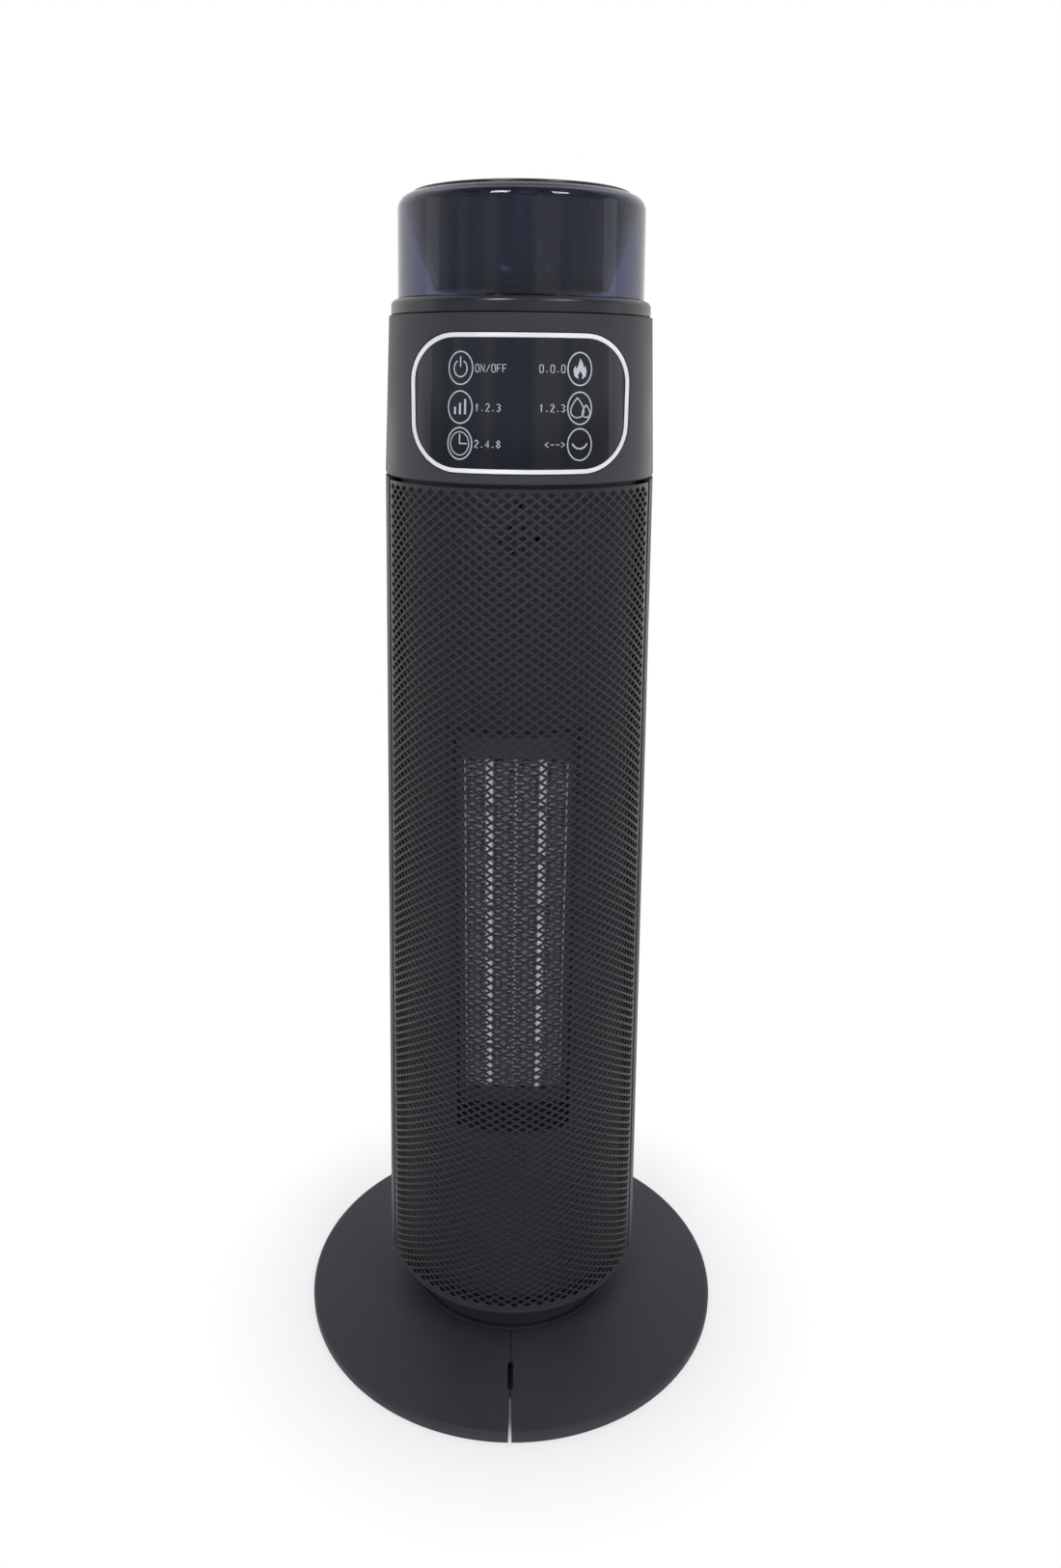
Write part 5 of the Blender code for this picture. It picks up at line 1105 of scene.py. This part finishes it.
def bowl():
    """Dark bowl in the blue cover, which narrows towards its floor."""
    top = high("water_tank").z + TANK_RISE
    bottom = low("water_tank").z
    inside = bottom + TANK_WALL
    shoulder = high("water_tank").x
    base = shoulder - TANK_TAPER
    lip = shoulder - TANK_LIP_WIDTH
    level = top - TANK_SHOULDER_DROP
    profile = softened([
        (lip, top), (shoulder, level), (base, bottom), (TANK_WELL, bottom), (TANK_WELL, inside),
        (base - TANK_WALL, inside), (shoulder - TANK_WALL, level), (lip - TANK_WALL, top)], SOFT)
    dress(turned("bowl", profile), "tank_dark", "water_tank")


def lid():
    """Low domed lid with a mist outlet and a skirt."""
    skirt_end, top = levels("tank_lid")
    edge = top - LID_DOME
    bottom = SHADE_TOP + GAP / 2
    skirt = SHADE_MOUTH - GAP
    profile = [(LID_OUTLET, top - LID_WALL), (LID_OUTLET, top - LID_OUTLET_LIP),
               (LID_OUTLET + LID_OUTLET_LIP, top)]
    for share in (step / 8 for step in range(1, 8)):
        radius = LID_OUTLET + (LID_RADIUS - LID_EDGE[0][0] - LID_OUTLET) * share
        profile.append((radius, top - LID_DOME * share * share))
    profile += [(LID_RADIUS - inset, edge - drop) for inset, drop in LID_EDGE]
    profile += [(LID_RADIUS, bottom), (skirt, bottom), (skirt, skirt_end), (skirt - LID_WALL, skirt_end),
                (skirt - LID_WALL, edge - LID_WALL)]
    dress(turned("lid_dome", profile), "gloss_black", "tank_lid", "lid", "lid")


# Pieces that keep the frame's own shape

def dress_nodes():
    """Give each node the look of its slot, but for two that show through the mesh."""
    special = {"heater_frame": "frame", "buzzer": "inner_plastic"}
    for row in frame["record"]["subparts"]:
        node = frame["nodes"][row["node"]]
        node.data.materials.clear()
        node.data.materials.append(LOOKS[special.get(row["node"], row["material_slot"])])


# Stage, lights and camera

def seen_directly(tree, mirrored=1.0):
    """A number that is 1 for what the camera sees, also through clear pieces, and in shiny ones a share."""
    path = new_node(tree, "ShaderNodeLightPath", {})
    straight = combined(tree, "MAXIMUM", path["Is Camera Ray"], path["Is Transmission Ray"])
    shiny = combined(tree, "MULTIPLY", path["Is Glossy Ray"], mirrored)
    return combined(tree, "MAXIMUM", straight, shiny)


def mixed(tree, output, share, first, second):
    """Put the mix of two shaders on an output."""
    mix = new_node(tree, "ShaderNodeMixShader", {"Fac": share, 1: first, 2: second})
    feed(tree, tree.nodes[output], {"Surface": mix["Shader"]})


def floor():
    """Pale floor, dark under the foot and white away from it."""
    bpy.ops.mesh.primitive_plane_add(size=FLOOR_SIZE, location=(0.0, 0.0, 0.0))
    plane = bpy.context.active_object
    plane.name = "stage_floor"
    made = bpy.data.materials.new("stage_floor")
    made.use_nodes = True
    tree = made.node_tree
    shader = tree.nodes["Principled BSDF"]
    feed(tree, shader, {"Base Color": (FLOOR_SHADE, FLOOR_SHADE, FLOOR_SHADE, 1.0),
                        "Roughness": FLOOR_ROUGHNESS, "Specular IOR Level": 0.0})
    place = new_node(tree, "ShaderNodeTexCoord", {})["Object"]
    reach = new_node(tree, "ShaderNodeVectorMath", {0: place}, "LENGTH")["Value"]
    fade = ramp(tree, combined(tree, "DIVIDE", reach, FADE_REACH), FADE_STOPS)
    glow = new_node(tree, "ShaderNodeEmission", {})["Emission"]
    share = combined(tree, "MULTIPLY", seen_directly(tree), fade)
    mixed(tree, "Material Output", share, shader.outputs["BSDF"], glow)
    plane.data.materials.append(made)


def surroundings():
    """White to look at, and on the object a weak cool light, stronger at its back, in upright streaks."""
    world = bpy.data.worlds.new("surroundings")
    bpy.context.scene.world = world
    world.use_nodes = True
    tree = world.node_tree
    tint = ramp(tree, noise(tree, *STREAK_NOISE, "Generated"), STREAK_TINTS)
    place = new_node(tree, "ShaderNodeTexCoord", {})["Generated"]
    split = new_node(tree, "ShaderNodeSeparateXYZ", {"Vector": place})
    depth = tree.nodes.new("ShaderNodeMapRange")
    depth.interpolation_type = "SMOOTHSTEP"
    feed(tree, depth, {"From Min": AMBIENT_TURN[0], "From Max": AMBIENT_TURN[1], "Value": split["Y"]})
    strength = new_node(tree, "ShaderNodeMapRange", {
        "To Min": AMBIENT_FRONT, "To Max": AMBIENT_BACK, "Value": depth.outputs["Result"]})["Result"]
    total = combined(tree, "MAXIMUM", strength, ramp(tree, split["Z"], HORIZON_STOPS))
    light = tree.nodes["Background"]
    feed(tree, light, {"Color": tint, "Strength": total})
    white = new_node(tree, "ShaderNodeBackground", {"Color": (1.0, 1.0, 1.0, 1.0)})["Background"]
    mixed(tree, "World Output", seen_directly(tree, depth.outputs["Result"]),
          light.outputs["Background"], white)


def lights():
    """Two high lamps in front, a low one for the heating element, weak ones beside and behind."""
    for name, spot, target, width, height, power, mirrored in LAMPS:
        data = bpy.data.lights.new(name, "AREA")
        data.shape = "RECTANGLE"
        data.size = width
        data.size_y = height
        data.energy = power
        obj = new_object(name, data)
        obj.location = spot
        obj.rotation_euler = (Vector(target) - Vector(spot)).to_track_quat("-Z", "Y").to_euler()
        obj.visible_glossy = mirrored


def camera():
    """Camera at the photograph's viewing angle."""
    data = bpy.data.cameras.new("camera")
    data.sensor_width = SENSOR
    data.lens = SENSOR * FOCAL_PIXELS / PHOTO_HEIGHT
    data.shift_x = -PRINCIPAL_RIGHT / PHOTO_HEIGHT
    data.shift_y = PRINCIPAL_DOWN / PHOTO_HEIGHT
    data.clip_start = CLIP_START
    obj = new_object("camera", data)
    obj.matrix_world = (
        Matrix.Translation((0.0, -CAMERA_DISTANCE, CAMERA_HEIGHT))
        @ Matrix.Rotation(pi / 2 - CAMERA_PITCH, 4, "X") @ Matrix.Rotation(CAMERA_ROLL, 4, "Z"))
    bpy.context.scene.camera = obj
    bpy.context.scene.view_settings.view_transform = "Standard"


camera()
floor()
surroundings()
lights()
dress_nodes()
foot()
neck()
bottom_band()
fine_mesh()
rear_shell()
rear_screws()
cord_entry()
inner_cover()
heating_element()
control_section()
panel_prints()
head_ring()
blue_shade()
bowl()
lid()
